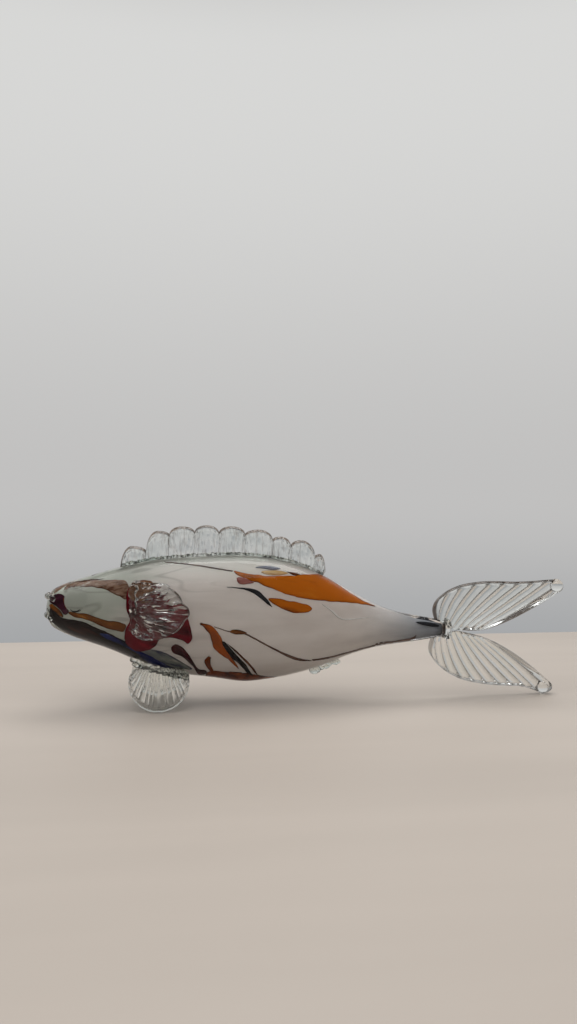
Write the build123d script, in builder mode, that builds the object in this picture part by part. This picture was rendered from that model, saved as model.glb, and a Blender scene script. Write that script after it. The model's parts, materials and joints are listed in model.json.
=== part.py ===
from build123d import *
import os
from math import cos, exp, radians, sin, sqrt

# A blown and cased glass fish, with its head towards -X and its left side towards -Y.
# Millimetres, +Z up. The origin is on the table, under the middle of the fish.

os.makedirs("parts", exist_ok=True)

# Overall sizes
overall_length = 344
body_length = 259
body_height = 82
body_width = 56
keel_clearance = 13.8
lip_reach = 3

# Layers of the body, from the skin inwards
casing_wall = 4.5
lining_wall = 1.5
chip_thickness = 1.2
chip_spacing = 1
mouth_width = 9
mouth_gap = 2.8
mouth_depth = 13
core_depth = 5

# Lips and eyes
upper_lip_radius = 4.4
lower_lip_radius = 2.9
lip_half_width = 7.5
lip_sweep_back = 6
eye_radius = 9.2
eye_height = 3.2

# Dorsal fin
dorsal_height = 20
dorsal_thickness = 4.4
petal_width = 17
petal_softening = 1.7
crimp_radius = 0.9
crimp_depth = 0.4
crimp_margin = 2.5
gather_thickness = 1.6
gather_width = 7

# Pectoral fins
pectoral_length = 38
pectoral_thickness = 2.6
pectoral_petal_width = 11
pectoral_rib_radius = 2.1
pectoral_splay = 17
pectoral_pleat = 1.2
root_bow = 2
pectoral_gather_radius = 4.6
pectoral_gather_height = 24

# Pelvic fins, which are the front feet
fan_radius = 19.5
fan_thickness = 1.8
fan_rim_radius = 1.7
fan_rib_root_radius = 0.6
fan_rib_end_radius = 1.6
fan_rib_count = 12
fan_rib_spread = 190
fan_root_width = 20
fan_splay = 25
fan_stance = 22
foot_depth = 0.5

# Anal fin
anal_bead_radius = 4
anal_bead_spacing = 6.4

# Tail
knuckle_radius = 7.4
knuckle_length = 7
knuckle_softening = 2.9
tail_rise = 33.5
lobe_thickness = 1.5
lobe_rim_radius = 2.1
lobe_rib_width = 2.2
lobe_rib_thickness = 3
rib_bulge = 3
upper_knob_radius = 5
lower_knob_radius = 4.7
upper_rib_count = 9
lower_rib_count = 9

# Stations of the body from the mouth to the end of the tail stem: place along the body's length,
# rise of its axis over the axis at the belly, then half height and half width.
body_station_shares = [
    (0.000, 0.094, 0.210, 0.280),
    (0.019, 0.096, 0.307, 0.380),
    (0.054, 0.091, 0.412, 0.500),
    (0.120, 0.085, 0.551, 0.660),
    (0.220, 0.060, 0.771, 0.850),
    (0.344, 0.023, 0.927, 0.965),
    (0.467, 0.000, 1.000, 1.000),
    (0.568, -0.007, 0.934, 0.940),
    (0.668, -0.024, 0.746, 0.790),
    (0.745, -0.051, 0.520, 0.580),
    (0.822, -0.083, 0.329, 0.395),
    (0.915, -0.106, 0.212, 0.260),
    (1.000, -0.120, 0.112, 0.150),
]
all_stations = len(body_station_shares)
lining_stations = all_stations - 1
cavity_stations = all_stations - 2

# Places on the body, as shares of its length and of its half height there: 1 is the back, -1 the keel.
mouth_place_share = -0.15
upper_lip_place_share = 0.55
lower_lip_place_share = -0.62
eye_place_share = (0.081, 0.30)
pectoral_place_share = (0.206, 0.14)
fan_place_share = 0.271
anal_place_share = 0.655
core_span_share = (0.925, 0.985)

# Petals of the dorsal fin: middle along the body's length, width, and height over the back
dorsal_petal_shares = [
    (0.198, 0.81, 0.62),
    (0.249, 1.06, 0.95),
    (0.314, 1.00, 1.00),
    (0.375, 0.97, 0.99),
    (0.437, 1.02, 0.92),
    (0.504, 1.07, 0.85),
    (0.562, 0.76, 0.73),
    (0.616, 1.06, 0.76),
    (0.668, 0.60, 0.59),
]
petal_shoulder_share = 0.52
petal_corner_share = 0.40
crimp_place_share = 0.36

# Petals of a pectoral fin: middle of each rounded tip, out from the root and up, as shares of its length
pectoral_tip_shares = [
    (0.210, -0.395),
    (0.447, -0.380),
    (0.684, -0.290),
    (0.855, -0.118),
    (0.830, 0.080),
    (0.630, 0.250),
    (0.340, 0.310),
]
pectoral_root_share = 0.47
fan_root_share = 0.50
anal_bead_shares = (1.0, 0.84, 0.70, 0.58)
bead_drop_share = 0.4

# Tail lobes: outer edge from root to tip, then inner edge from tip to root, as shares of the tail's
# length and of its rise or drop, counted from the knuckle
upper_edge_shares = [
    [
        (-0.140, 0.400), (-0.050, 0.660), (0.155, 0.890), (0.342, 0.935),
        (0.589, 0.905), (0.744, 0.905), (0.939, 0.845),
    ],
    [(0.939, 0.845), (0.655, 0.425), (0.420, 0.140), (0.295, 0.035), (0.175, 0.060), (0.024, 0.030)],
]
lower_edge_shares = [
    [
        (-0.165, 0.190), (-0.105, 0.470), (0.012, 0.655), (0.175, 0.772), (0.361, 0.812),
        (0.488, 0.818), (0.625, 0.838), (0.812, 0.907),
    ],
    [(0.812, 0.907), (0.590, 0.520), (0.370, 0.225), (0.285, 0.145), (0.171, 0.095), (0.024, 0.030)],
]
# Ribs of the tail lobes: starts of the first and last, then their ends
upper_rib_span_shares = [
    [(-0.045, 0.440), (0.230, 0.140)],
    [(0.159, 0.850), (0.830, 0.850)],
]
lower_rib_span_shares = [
    [(-0.120, 0.260), (0.190, 0.160)],
    [(0.030, 0.620), (0.740, 0.870)],
]

# Coloured chips: upper and lower edge, each from tip to tip, as places on the body
chip_edge_shares = {
    "back_amber_patch": (
        [(0.446, 0.77), (0.52, 0.74), (0.60, 0.83), (0.68, 0.97), (0.74, 0.91), (0.801, 0.83)],
        [(0.446, 0.77), (0.471, 0.68), (0.517, 0.54), (0.58, 0.43), (0.676, 0.47), (0.801, 0.83)],
    ),
    "back_honey_sliver": (
        [(0.500, 0.785), (0.55, 0.84), (0.590, 0.875)],
        [(0.500, 0.785), (0.55, 0.795), (0.590, 0.875)],
    ),
    "back_blue_streak": (
        [(0.495, 0.855), (0.53, 0.915), (0.570, 0.895)],
        [(0.495, 0.855), (0.53, 0.865), (0.570, 0.895)],
    ),
    "back_dark_thread": (
        [(0.330, 0.905), (0.39, 0.862), (0.439, 0.785)],
        [(0.330, 0.905), (0.387, 0.832), (0.439, 0.785)],
    ),
    "side_red_chip": (
        [(0.452, 0.67), (0.478, 0.69), (0.499, 0.62)],
        [(0.452, 0.67), (0.470, 0.575), (0.499, 0.62)],
    ),
    "side_dark_streak": (
        [(0.432, 0.55), (0.488, 0.515), (0.524, 0.42), (0.541, 0.25)],
        [(0.432, 0.55), (0.470, 0.47), (0.508, 0.36), (0.541, 0.25)],
    ),
    "side_amber_patch": (
        [(0.542, 0.41), (0.575, 0.40), (0.61, 0.37), (0.641, 0.29)],
        [(0.542, 0.41), (0.56, 0.26), (0.60, 0.18), (0.641, 0.29)],
    ),
    "flank_brown_thread": (
        [(0.404, -0.055), (0.44, -0.075), (0.50, -0.24), (0.56, -0.45), (0.640, -0.72)],
        [(0.404, -0.055), (0.43, -0.115), (0.49, -0.255), (0.55, -0.465), (0.640, -0.72)],
    ),
    "belly_amber_band": (
        [(0.356, 0.0), (0.392, -0.04), (0.416, -0.26), (0.434, -0.48), (0.464, -0.75)],
        [(0.356, 0.0), (0.378, -0.13), (0.399, -0.40), (0.422, -0.60), (0.464, -0.75)],
    ),
    "belly_black_streak": (
        [(0.421, -0.25), (0.441, -0.38), (0.462, -0.52), (0.500, -0.87)],
        [(0.421, -0.25), (0.433, -0.41), (0.450, -0.57), (0.500, -0.87)],
    ),
    "belly_amber_hook": (
        [(0.393, -0.53), (0.391, -0.66), (0.397, -0.77), (0.417, -0.86)],
        [(0.393, -0.53), (0.380, -0.64), (0.384, -0.76), (0.417, -0.86)],
    ),
    "belly_brown_patch": (
        [(0.390, -0.95), (0.45, -0.925), (0.50, -0.935), (0.575, -0.985)],
        [(0.390, -0.95), (0.43, -1.15), (0.53, -1.15), (0.575, -0.985)],
    ),
    "throat_maroon_streak": (
        [(0.300, -0.46), (0.322, -0.42), (0.353, -0.62), (0.378, -0.89)],
        [(0.300, -0.46), (0.307, -0.57), (0.335, -0.74), (0.378, -0.89)],
    ),
    "jaw_blue_band": (
        [(0.128, -0.50), (0.165, -0.58), (0.21, -0.70), (0.295, -0.95)],
        [(0.128, -0.50), (0.154, -0.70), (0.21, -0.87), (0.295, -0.95)],
    ),
    "jaw_black_band": (
        [(0.004, -0.05), (0.057, -0.17), (0.128, -0.32), (0.185, -0.47), (0.245, -1.02)],
        [(0.004, -0.05), (0.004, -0.80), (0.10, -1.25), (0.245, -1.02)],
    ),
    "jaw_amber_band": (
        [(0.071, -0.09), (0.10, -0.09), (0.137, -0.13), (0.184, -0.26)],
        [(0.071, -0.09), (0.10, -0.17), (0.136, -0.24), (0.184, -0.26)],
    ),
    "mouth_plum_patch": (
        [(0.008, 0.72), (0.036, 0.68), (0.055, 0.40), (0.058, 0.04)],
        [(0.008, 0.72), (0.008, 0.40), (0.030, 0.16), (0.058, 0.04)],
    ),
    "mouth_amber_patch": (
        [(0.004, 0.26), (0.028, 0.08), (0.060, -0.06)],
        [(0.004, 0.26), (0.024, -0.01), (0.060, -0.06)],
    ),
    "cheek_red_patch": (
        [(0.190, -0.15), (0.197, 0.20), (0.225, 0.45), (0.28, 0.34), (0.33, 0.13), (0.351, -0.13)],
        [(0.190, -0.15), (0.193, -0.42), (0.222, -0.59), (0.26, -0.43), (0.30, -0.31), (0.351, -0.13)],
    ),
    "brow_brown_streak": (
        [(0.090, 0.87), (0.14, 0.82), (0.175, 0.72), (0.200, 0.52)],
        [(0.090, 0.87), (0.13, 0.70), (0.165, 0.57), (0.200, 0.52)],
    ),
}
# Chips that wrap round under the fish, and chips that the right side repeats a little further back
wrapping_chips = ("belly_brown_patch", "jaw_black_band")
right_chips = (
    "back_amber_patch", "side_amber_patch", "belly_amber_band", "jaw_blue_band",
    "jaw_amber_band", "mouth_plum_patch", "cheek_red_patch", "brow_brown_streak",
)
right_shift_share = 0.02
# Chips that lie over part of another one, which gives way to them
chips_on_top = {
    "jaw_black_band": ("jaw_blue_band", "jaw_blue_band_right"),
    "back_amber_patch": ("side_red_chip",),
}

nose_x = lip_reach - overall_length / 2
stem_x = nose_x + body_length
tail_length = overall_length / 2 - stem_x
axis_height = keel_clearance + body_height / 2
chip_depth = casing_wall - chip_thickness
stem_height = axis_height + body_station_shares[-1][1] * body_height


def station_at(along_share):
    """Axis height, half height and half width of the body at a place along its length."""
    for before, after in zip(body_station_shares, body_station_shares[1:]):
        if along_share <= after[0]:
            break
    part_way = (along_share - before[0]) / (after[0] - before[0])
    rise, tall, wide = (b + (a - b) * part_way for b, a in zip(before[1:], after[1:]))
    return axis_height + rise * body_height, tall * body_height / 2, wide * body_width / 2


def under_skin(half_size, depth):
    """Half size at a depth under the skin. Where the glass is slim, its layers are thinner too."""
    return half_size * exp(-depth / half_size)


def on_body(along_share, up_share, depth=0):
    """Side-view place on the body, as X and Z, or on the layer at a depth under its skin."""
    middle, half_height, _ = station_at(along_share)
    return nose_x + along_share * body_length, middle + up_share * under_skin(half_height, depth)


def flank_reach(along_share, up_share):
    """How far the skin stands out from the middle plane at a place on the body."""
    return station_at(along_share)[2] * sqrt(1 - up_share**2)


def back_height_at(x):
    """Height of the ridge of the back over the table."""
    return on_body((x - nose_x) / body_length, 1)[1]


def body_form(depth, station_count):
    """The solid within the surface that lies at a depth under the body's skin."""
    with BuildPart() as form:
        for along, rise, tall, wide in body_station_shares[:station_count]:
            x = nose_x + depth + along * (body_length - depth)
            middle = (x, 0, axis_height + rise * body_height)
            with BuildSketch(Plane(middle, x_dir=(0, 1, 0), z_dir=(1, 0, 0))):
                with BuildLine():
                    EllipticalCenterArc(
                        (0, 0),
                        under_skin(wide * body_width / 2, depth),
                        under_skin(tall * body_height / 2, depth),
                        start_angle=-90,
                        arc_size=180,
                    )
                    mirror(about=Plane.YZ)
                make_face()
        loft()
    return form.part


def rod_along(course, radius):
    """A round rod along a course, with rounded ends."""
    with BuildPart() as rod:
        with BuildSketch(Plane(course @ 0, z_dir=course % 0)):
            Circle(radius)
        sweep(path=course)
        with Locations(course @ 0, course @ 1):
            Sphere(radius)
    return rod.part


def glass_rod(start, middle, end, radius):
    """A round rod along the arc through three points."""
    with BuildLine():
        course = ThreePointArc(start, middle, end)
    return rod_along(course, radius)


def rib_cone(start, end, start_radius, end_radius):
    """A straight rib that thickens from one point to another, with a rounded end."""
    course = Vector(end) - Vector(start)
    with BuildPart(Plane(start, z_dir=course)) as rib:
        Cone(start_radius, end_radius, course.length, align=(Align.CENTER, Align.CENTER, Align.MIN))
    return rib.part


def fused(rods):
    """Several rods melted into one form."""
    with BuildPart() as melted:
        add(rods)
    return melted.part


def between(start, end, part_way):
    """The point part of the way from one place to another."""
    return tuple(s + (e - s) * part_way for s, e in zip(start, end))


def gather_band(plane, length, width, height):
    """A band of glass pressed along the skin, inside a block centred on the given plane."""
    with BuildPart(plane) as block:
        Box(length, width, height)
    with BuildPart() as band:
        add(block.part)
        add(gather_form, mode=Mode.INTERSECT)
    return band.part


def stem_core(span_shares, depth):
    """A tapered plug inside the tail stem."""
    with BuildPart() as core:
        for along_share in span_shares:
            middle_z, half_height, half_width = station_at(along_share)
            middle = (nose_x + along_share * body_length, 0, middle_z)
            with BuildSketch(Plane(middle, x_dir=(0, 1, 0), z_dir=(1, 0, 0))):
                Ellipse(under_skin(half_width, depth), under_skin(half_height, depth))
        loft(ruled=True)
    return core.part


skin = body_form(0, all_stations)
gather_form = body_form(-gather_thickness, all_stations)
chip_form = body_form(chip_depth, lining_stations)
lining_form = body_form(casing_wall, lining_stations)
cavity_form = body_form(casing_wall + lining_wall, cavity_stations)
stem_core_form = stem_core(core_span_share, core_depth)

# Coloured chips: each fills a pocket in the casing and lies on the lining
def chip_plug(name, shift_share, side):
    """A chip with the lining's space under it: its outline pushed in from one side of the body."""
    edges = [
        [on_body(along + shift_share, up, chip_depth) for along, up in edge]
        for edge in chip_edge_shares[name]
    ]
    reach = side * body_width
    start = side * chip_spacing / 2
    if name in wrapping_chips:
        start = -reach
    with BuildPart() as plug:
        with BuildSketch(Plane.XZ.offset(start)):
            with BuildLine():
                for edge in edges:
                    Spline(*edge)
            make_face()
        extrude(amount=reach - start)
        add(chip_form, mode=Mode.INTERSECT)
    return plug.part


plugs = {name: chip_plug(name, 0, 1) for name in chip_edge_shares}
for name in right_chips:
    plugs[name + "_right"] = chip_plug(name, right_shift_share, -1)

# Body: clear casing with its pockets, white lining with the hollow inside, and the mouth's slot
with BuildPart() as mouth_slot:
    mouth_x, mouth_z = on_body(0, mouth_place_share)
    with BuildSketch(Plane((-overall_length / 2, 0, mouth_z), x_dir=(0, 1, 0), z_dir=(1, 0, 0))):
        SlotOverall(mouth_width, mouth_gap)
    extrude(amount=mouth_depth)

with BuildPart() as crystal_casing:
    add(skin)
    add(lining_form, mode=Mode.SUBTRACT)
    add(stem_core_form, mode=Mode.SUBTRACT)
    add(list(plugs.values()), mode=Mode.SUBTRACT)
    add(mouth_slot.part, mode=Mode.SUBTRACT)
crystal_casing.part.label = "crystal_casing"

with BuildPart() as white_lining:
    add(lining_form)
    add(cavity_form, mode=Mode.SUBTRACT)
    add(mouth_slot.part, mode=Mode.SUBTRACT)
white_lining.part.label = "white_lining"

chips = []
for name, plug in plugs.items():
    with BuildPart() as chip:
        add(plug)
        add(lining_form, mode=Mode.SUBTRACT)
        add(mouth_slot.part, mode=Mode.SUBTRACT)
        add([plugs[other] for other in chips_on_top.get(name, ())], mode=Mode.SUBTRACT)
    chip.part.label = name
    chips.append(chip.part)

with BuildPart() as tail_dark_core:
    add(stem_core_form)
tail_dark_core.part.label = "tail_dark_core"

# Lips: two bent rods round the front of the mouth
lips = []
for name, place_share, radius in (
    ("upper_lip", upper_lip_place_share, upper_lip_radius),
    ("lower_lip", lower_lip_place_share, lower_lip_radius),
):
    lip_z = on_body(0, place_share)[1]
    front_x = radius - overall_length / 2
    rod = glass_rod(
        (front_x + lip_sweep_back, -lip_half_width, lip_z),
        (front_x, 0, lip_z),
        (front_x + lip_sweep_back, lip_half_width, lip_z),
        radius,
    )
    with BuildPart() as lip:
        add(rod)
        add([skin, mouth_slot.part], mode=Mode.SUBTRACT)
    lip.part.label = name
    lips.append(lip.part)

# Eyes: clear domes pressed onto the sides of the head
eye_x, eye_z = on_body(*eye_place_share)
eye_y = eye_radius - eye_height - flank_reach(*eye_place_share)
with BuildPart() as eye_left:
    with Locations((eye_x, eye_y, eye_z)):
        Sphere(eye_radius)
    add(skin, mode=Mode.SUBTRACT)
eye_left.part.label = "eye_left"

with BuildPart() as eye_right:
    mirror(eye_left.part, about=Plane.XZ)
eye_right.part.label = "eye_right"

# Dorsal fin: overlapping petals on a gathered band, pressed with upright crimps
petals = []
crimp_cuts = []
for along, width, height in dorsal_petal_shares:
    middle_x = nose_x + along * body_length
    half = width * petal_width / 2
    rise = height * dorsal_height
    back_z = back_height_at(middle_x)
    front_back_z = back_height_at(middle_x - half)
    rear_back_z = back_height_at(middle_x + half)
    foot_z = min(front_back_z, rear_back_z) - casing_wall
    drop = petal_shoulder_share * half
    with BuildPart() as petal:
        with BuildSketch(Plane.XZ):
            with BuildLine():
                ThreePointArc(
                    (middle_x - half, front_back_z + rise - drop),
                    (middle_x, back_z + rise),
                    (middle_x + half, rear_back_z + rise - drop),
                )
                Polyline(
                    (middle_x + half, rear_back_z + rise - drop),
                    (middle_x + half, foot_z),
                    (middle_x - half, foot_z),
                    (middle_x - half, front_back_z + rise - drop),
                )
            make_face()
            fillet(vertices().sort_by(Axis.Y)[-2:], petal_corner_share * half)
        extrude(amount=dorsal_thickness / 2, both=True)
        fillet(faces().filter_by(Axis.Y).edges(), petal_softening)
    petals.append(petal.part)
    for place in (-crimp_place_share, crimp_place_share, 1):
        crimp_x = middle_x + place * half
        crimp_top = min(back_z, back_height_at(crimp_x)) + rise - drop - crimp_margin
        crimp_y = dorsal_thickness / 2 + crimp_radius - crimp_depth
        crimp_cuts += [(crimp_x, -crimp_y, crimp_top), (crimp_x, crimp_y, crimp_top)]

petals_box = Compound(petals).bounding_box()
dorsal_band = gather_band(
    Plane((petals_box.center().X, 0, axis_height + body_height / 2)),
    petals_box.size.X,
    gather_width,
    body_height,
)

with BuildPart() as dorsal_fin:
    add(petals)
    with Locations(crimp_cuts):
        Cylinder(
            crimp_radius,
            dorsal_height,
            align=(Align.CENTER, Align.CENTER, Align.MAX),
            mode=Mode.SUBTRACT,
        )
    add(dorsal_band)
    add(skin, mode=Mode.SUBTRACT)
dorsal_fin.part.label = "dorsal_fin"

# Pectoral fins: pleated fans of petals that stand off the cheeks from an upright root
root_x, root_z = on_body(*pectoral_place_share)
out_and_back = Vector(cos(radians(pectoral_splay)), -sin(radians(pectoral_splay)), 0)
pectoral_plane = Plane(
    (root_x, -flank_reach(*pectoral_place_share), root_z),
    x_dir=out_and_back,
    z_dir=out_and_back.cross(Vector(0, 0, 1)),
)
pectoral_ribs = []
with BuildPart() as pectoral_web:
    with BuildSketch(pectoral_plane):
        for number, (tip_out_share, tip_up_share) in enumerate(pectoral_tip_shares):
            row = number / (len(pectoral_tip_shares) - 1) - 1 / 2
            start = Vector(0, row * pectoral_root_share * pectoral_length, 0)
            tip = Vector(tip_out_share * pectoral_length, tip_up_share * pectoral_length, 0)
            middle = (start + tip) / 2
            SlotCenterPoint((middle.X, middle.Y), (tip.X, tip.Y), pectoral_petal_width)
            pleat = pectoral_pleat * (-1) ** number
            pectoral_ribs.append(
                glass_rod(
                    pectoral_plane.from_local_coords(start),
                    pectoral_plane.from_local_coords(middle + Vector(0, 0, pleat)),
                    pectoral_plane.from_local_coords(tip),
                    pectoral_rib_radius,
                )
            )
    extrude(amount=pectoral_thickness / 2, both=True)
root_half = pectoral_gather_height / 2
root_rod = glass_rod(
    pectoral_plane.from_local_coords((root_bow, -root_half, 0)),
    pectoral_plane.origin,
    pectoral_plane.from_local_coords((root_bow, root_half, 0)),
    pectoral_gather_radius,
)

with BuildPart() as pectoral_fin_left:
    add([pectoral_web.part, fused(pectoral_ribs), root_rod])
    add(skin, mode=Mode.SUBTRACT)
pectoral_fin_left.part.label = "pectoral_fin_left"

with BuildPart() as pectoral_fin_right:
    mirror(pectoral_fin_left.part, about=Plane.XZ)
pectoral_fin_right.part.label = "pectoral_fin_right"

# Pelvic fins: round ribbed fans, splayed so that their rims stand on the table
with BuildPart() as below_table:
    Box(overall_length, overall_length, overall_length, align=(Align.CENTER, Align.CENTER, Align.MAX))

rim_circle = fan_radius - fan_rim_radius
fan_up = Vector(0, sin(radians(fan_splay)), cos(radians(fan_splay)))
fan_plane = Plane(
    (
        nose_x + fan_place_share * body_length,
        rim_circle * fan_up.Y - fan_stance,
        rim_circle * fan_up.Z + fan_rim_radius - foot_depth,
    ),
    x_dir=(1, 0, 0),
    z_dir=Vector(1, 0, 0).cross(fan_up),
)
fan_ribs = []
for number in range(fan_rib_count):
    row = number / (fan_rib_count - 1) - 1 / 2
    angle = radians(fan_rib_spread * row)
    start = Vector(row * fan_root_width, fan_root_share * rim_circle, 0)
    end = Vector(sin(angle), -cos(angle), 0) * rim_circle
    rib_ends = [fan_plane.from_local_coords(point) for point in (start, end)]
    fan_ribs.append(rib_cone(*rib_ends, fan_rib_root_radius, fan_rib_end_radius))
fan_band = gather_band(fan_plane, 2 * rim_circle, 2 * fan_radius, gather_width)

with BuildPart(fan_plane) as fan_disc:
    Torus(rim_circle, fan_rim_radius)
    Cylinder(rim_circle, fan_thickness)

with BuildPart() as pelvic_fin_left:
    add([fan_disc.part, fused(fan_ribs), fan_band])
    add([skin, below_table.part], mode=Mode.SUBTRACT)
pelvic_fin_left.part.label = "pelvic_fin_left"

with BuildPart() as pelvic_fin_right:
    mirror(pelvic_fin_left.part, about=Plane.XZ)
pelvic_fin_right.part.label = "pelvic_fin_right"

# Anal fin: a short row of pinched beads under the belly
with BuildPart() as anal_fin:
    bead_x = nose_x + anal_place_share * body_length
    for share in anal_bead_shares:
        radius = share * anal_bead_radius
        keel_z = on_body((bead_x - nose_x) / body_length, -1)[1]
        with Locations((bead_x, 0, keel_z - bead_drop_share * radius)):
            Sphere(radius)
        bead_x += share * anal_bead_spacing
    add(skin, mode=Mode.SUBTRACT)
anal_fin.part.label = "anal_fin"

# Tail: a knuckle on the end of the stem, and two ribbed lobes drawn out to knobs
with BuildPart(Plane((stem_x, 0, stem_height), z_dir=(1, 0, 0))) as rounded_disc:
    Cylinder(knuckle_radius, knuckle_length)
    fillet(edges().filter_by(GeomType.CIRCLE), knuckle_softening)

with BuildPart() as tail_knuckle:
    add(rounded_disc.part)
    add(skin, mode=Mode.SUBTRACT)
tail_knuckle.part.label = "tail_knuckle"


def tail_lobe(edge_shares, rise, rib_span_shares, rib_count, knob_radius):
    """A flat lobe of the tail: web, rounded rim, curved ribs and the knob at its tip."""

    def place(share):
        return Vector(stem_x + share[0] * tail_length, 0, stem_height + share[1] * rise)

    outer_edge, inner_edge = ([place(share) for share in shares] for shares in edge_shares)
    tip = outer_edge[-1]
    rims = []
    with BuildPart() as web:
        with BuildSketch(Plane.XZ):
            with BuildLine():
                for edge in (outer_edge, inner_edge):
                    Spline(*[(point.X, point.Z) for point in edge])
                Line(*[(point.X, point.Z) for point in (inner_edge[-1], outer_edge[0])])
            make_face()
        extrude(amount=lobe_thickness / 2, both=True)
    for edge in (outer_edge, inner_edge):
        with BuildLine():
            course = Spline(*edge)
        rims.append(rod_along(course, lobe_rim_radius))
    bulge = Vector(-rib_bulge, rib_bulge * rise / abs(rise))
    with BuildPart() as ribs:
        with BuildSketch(Plane.XZ):
            for number in range(rib_count):
                part_way = number / (rib_count - 1)
                start, end = (place(between(*span, part_way)) for span in rib_span_shares)
                foot = Vector(start.X, start.Z)
                head = Vector(end.X, end.Z)
                with BuildLine():
                    course = ThreePointArc(foot, (foot + head) / 2 + bulge, head)
                SlotArc(course, lobe_rib_width)
        extrude(amount=lobe_rib_thickness / 2, both=True)
    with BuildPart() as lobe:
        add([web.part, fused(rims), ribs.part])
        with Locations(tip):
            Sphere(knob_radius)
        add([skin, tail_knuckle.part, below_table.part], mode=Mode.SUBTRACT)
    return lobe.part


tail_lobe_upper = tail_lobe(
    upper_edge_shares, tail_rise, upper_rib_span_shares, upper_rib_count, upper_knob_radius
)
tail_lobe_upper.label = "tail_lobe_upper"

tail_lobe_lower = tail_lobe(
    lower_edge_shares, -stem_height, lower_rib_span_shares, lower_rib_count, lower_knob_radius
)
tail_lobe_lower.label = "tail_lobe_lower"

pieces = [crystal_casing.part, white_lining.part, tail_dark_core.part, *chips, *lips]
pieces += [eye_left.part, eye_right.part, dorsal_fin.part, anal_fin.part]
pieces += [pectoral_fin_left.part, pectoral_fin_right.part]
pieces += [pelvic_fin_left.part, pelvic_fin_right.part]
pieces += [tail_knuckle.part, tail_lobe_upper, tail_lobe_lower]
for piece in pieces:
    export_step(piece, f"parts/{piece.label}.step")
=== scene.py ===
# %% [markdown]
# # A cased glass fish
# The real fish is hollow and blown: clear crystal outside, a white lining inside, and chips of
# coloured glass trapped between the two. Its fins are hot crystal, pressed on and pinched into
# ribs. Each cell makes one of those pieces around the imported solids, which give every place and
# size. Lengths are in millimetres until a mesh is made. One of the noises used here starts
# somewhere new in each run of Blender unless it is seeded, so it is seeded before anything else.

import json
import math

import bmesh
import bpy
import numpy as np
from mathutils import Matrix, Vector, geometry, noise
from mathutils.bvhtree import BVHTree
from mathutils.kdtree import KDTree


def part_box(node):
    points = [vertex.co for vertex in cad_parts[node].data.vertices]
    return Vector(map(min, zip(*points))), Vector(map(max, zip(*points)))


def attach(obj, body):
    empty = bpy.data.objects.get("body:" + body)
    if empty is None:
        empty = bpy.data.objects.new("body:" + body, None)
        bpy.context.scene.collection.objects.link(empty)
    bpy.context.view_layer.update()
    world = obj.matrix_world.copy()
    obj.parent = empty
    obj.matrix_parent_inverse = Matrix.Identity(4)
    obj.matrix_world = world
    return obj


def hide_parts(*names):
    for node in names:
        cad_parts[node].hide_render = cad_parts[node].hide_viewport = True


NOISE_SEED = 7
noise.seed_set(NOISE_SEED)
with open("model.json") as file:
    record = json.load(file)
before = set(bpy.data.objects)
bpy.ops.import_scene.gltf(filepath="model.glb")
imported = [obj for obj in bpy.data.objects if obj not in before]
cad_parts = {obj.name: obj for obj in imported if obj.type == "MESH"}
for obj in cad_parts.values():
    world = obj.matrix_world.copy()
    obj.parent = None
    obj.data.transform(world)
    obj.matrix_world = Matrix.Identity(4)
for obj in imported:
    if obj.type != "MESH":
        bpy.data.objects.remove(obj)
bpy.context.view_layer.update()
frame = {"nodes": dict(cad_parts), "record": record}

# %% [markdown]
# ## Wires: writing formulas as nodes
# A material or a Geometry Nodes tree often needs a formula. Placing each Math node by hand is
# long, so a wire is a socket that makes the right Math node when it is added or multiplied.


# %% Make a wire
def plug(tree, value, socket):
    """Joins a wire to a socket, or sets the socket to a plain value."""
    if isinstance(value, Wire):
        tree.links.new(value.socket, socket)
    else:
        socket.default_value = value


class Wire:
    """A node's output that makes Math nodes when it is used in a sum."""

    def __init__(self, tree, socket):
        self.tree = tree
        self.socket = socket

    def math(self, operation, *others):
        node = self.tree.nodes.new("ShaderNodeMath")
        node.operation = operation
        for value, socket in zip((self, *others), node.inputs):
            plug(self.tree, value, socket)
        return Wire(self.tree, node.outputs[0])

    def __add__(self, other):
        return self.math("ADD", other)

    def __sub__(self, other):
        return self.math("SUBTRACT", other)

    def __mul__(self, other):
        return self.math("MULTIPLY", other)

    def __pow__(self, other):
        return self.math("POWER", other)

    def ramp(self, low, high):
        """0 below low, 1 above high and smooth between."""
        node = self.tree.nodes.new("ShaderNodeMapRange")
        node.interpolation_type = "SMOOTHSTEP"
        plug(self.tree, self, node.inputs["Value"])
        node.inputs["From Min"].default_value = low
        node.inputs["From Max"].default_value = high
        return Wire(self.tree, node.outputs["Result"])


def add_node(tree, kind, **inputs):
    """A node of that kind, with its inputs plugged by name."""
    node = tree.nodes.new(kind)
    for name, value in inputs.items():
        plug(tree, value, node.inputs[name.replace("_", " ")])
    return node


# %% [markdown]
# ## Meshes from grids of points
# Blown and pinched glass has smooth closed surfaces, so most pieces are grids of points worked
# out with numpy and closed at the ends. Pieces that run together while they are hot are joined
# and given one new skin. Every object stays at the origin with its place in its mesh, as the
# solids have.


# %% Turn points and faces into a piece
MM = 0.001


def new_piece(name, points, faces, attributes=()):
    """A smooth mesh object from points in millimetres."""
    mesh = bpy.data.meshes.new(name)
    mesh.from_pydata((np.asarray(points) * MM).tolist(), [], [list(face) for face in faces])
    for label, values in dict(attributes).items():
        layer = mesh.attributes.new(label, "FLOAT", "POINT")
        layer.data.foreach_set("value", np.asarray(values, np.float32))
    mesh.shade_smooth()
    piece = bpy.data.objects.new(name, mesh)
    bpy.context.scene.collection.objects.link(piece)
    return piece


def turn_out(mesh):
    """Points every face of a closed mesh outwards."""
    solid = bmesh.new()
    solid.from_mesh(mesh)
    bmesh.ops.recalc_face_normals(solid, faces=solid.faces)
    solid.to_mesh(mesh)
    solid.free()


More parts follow.
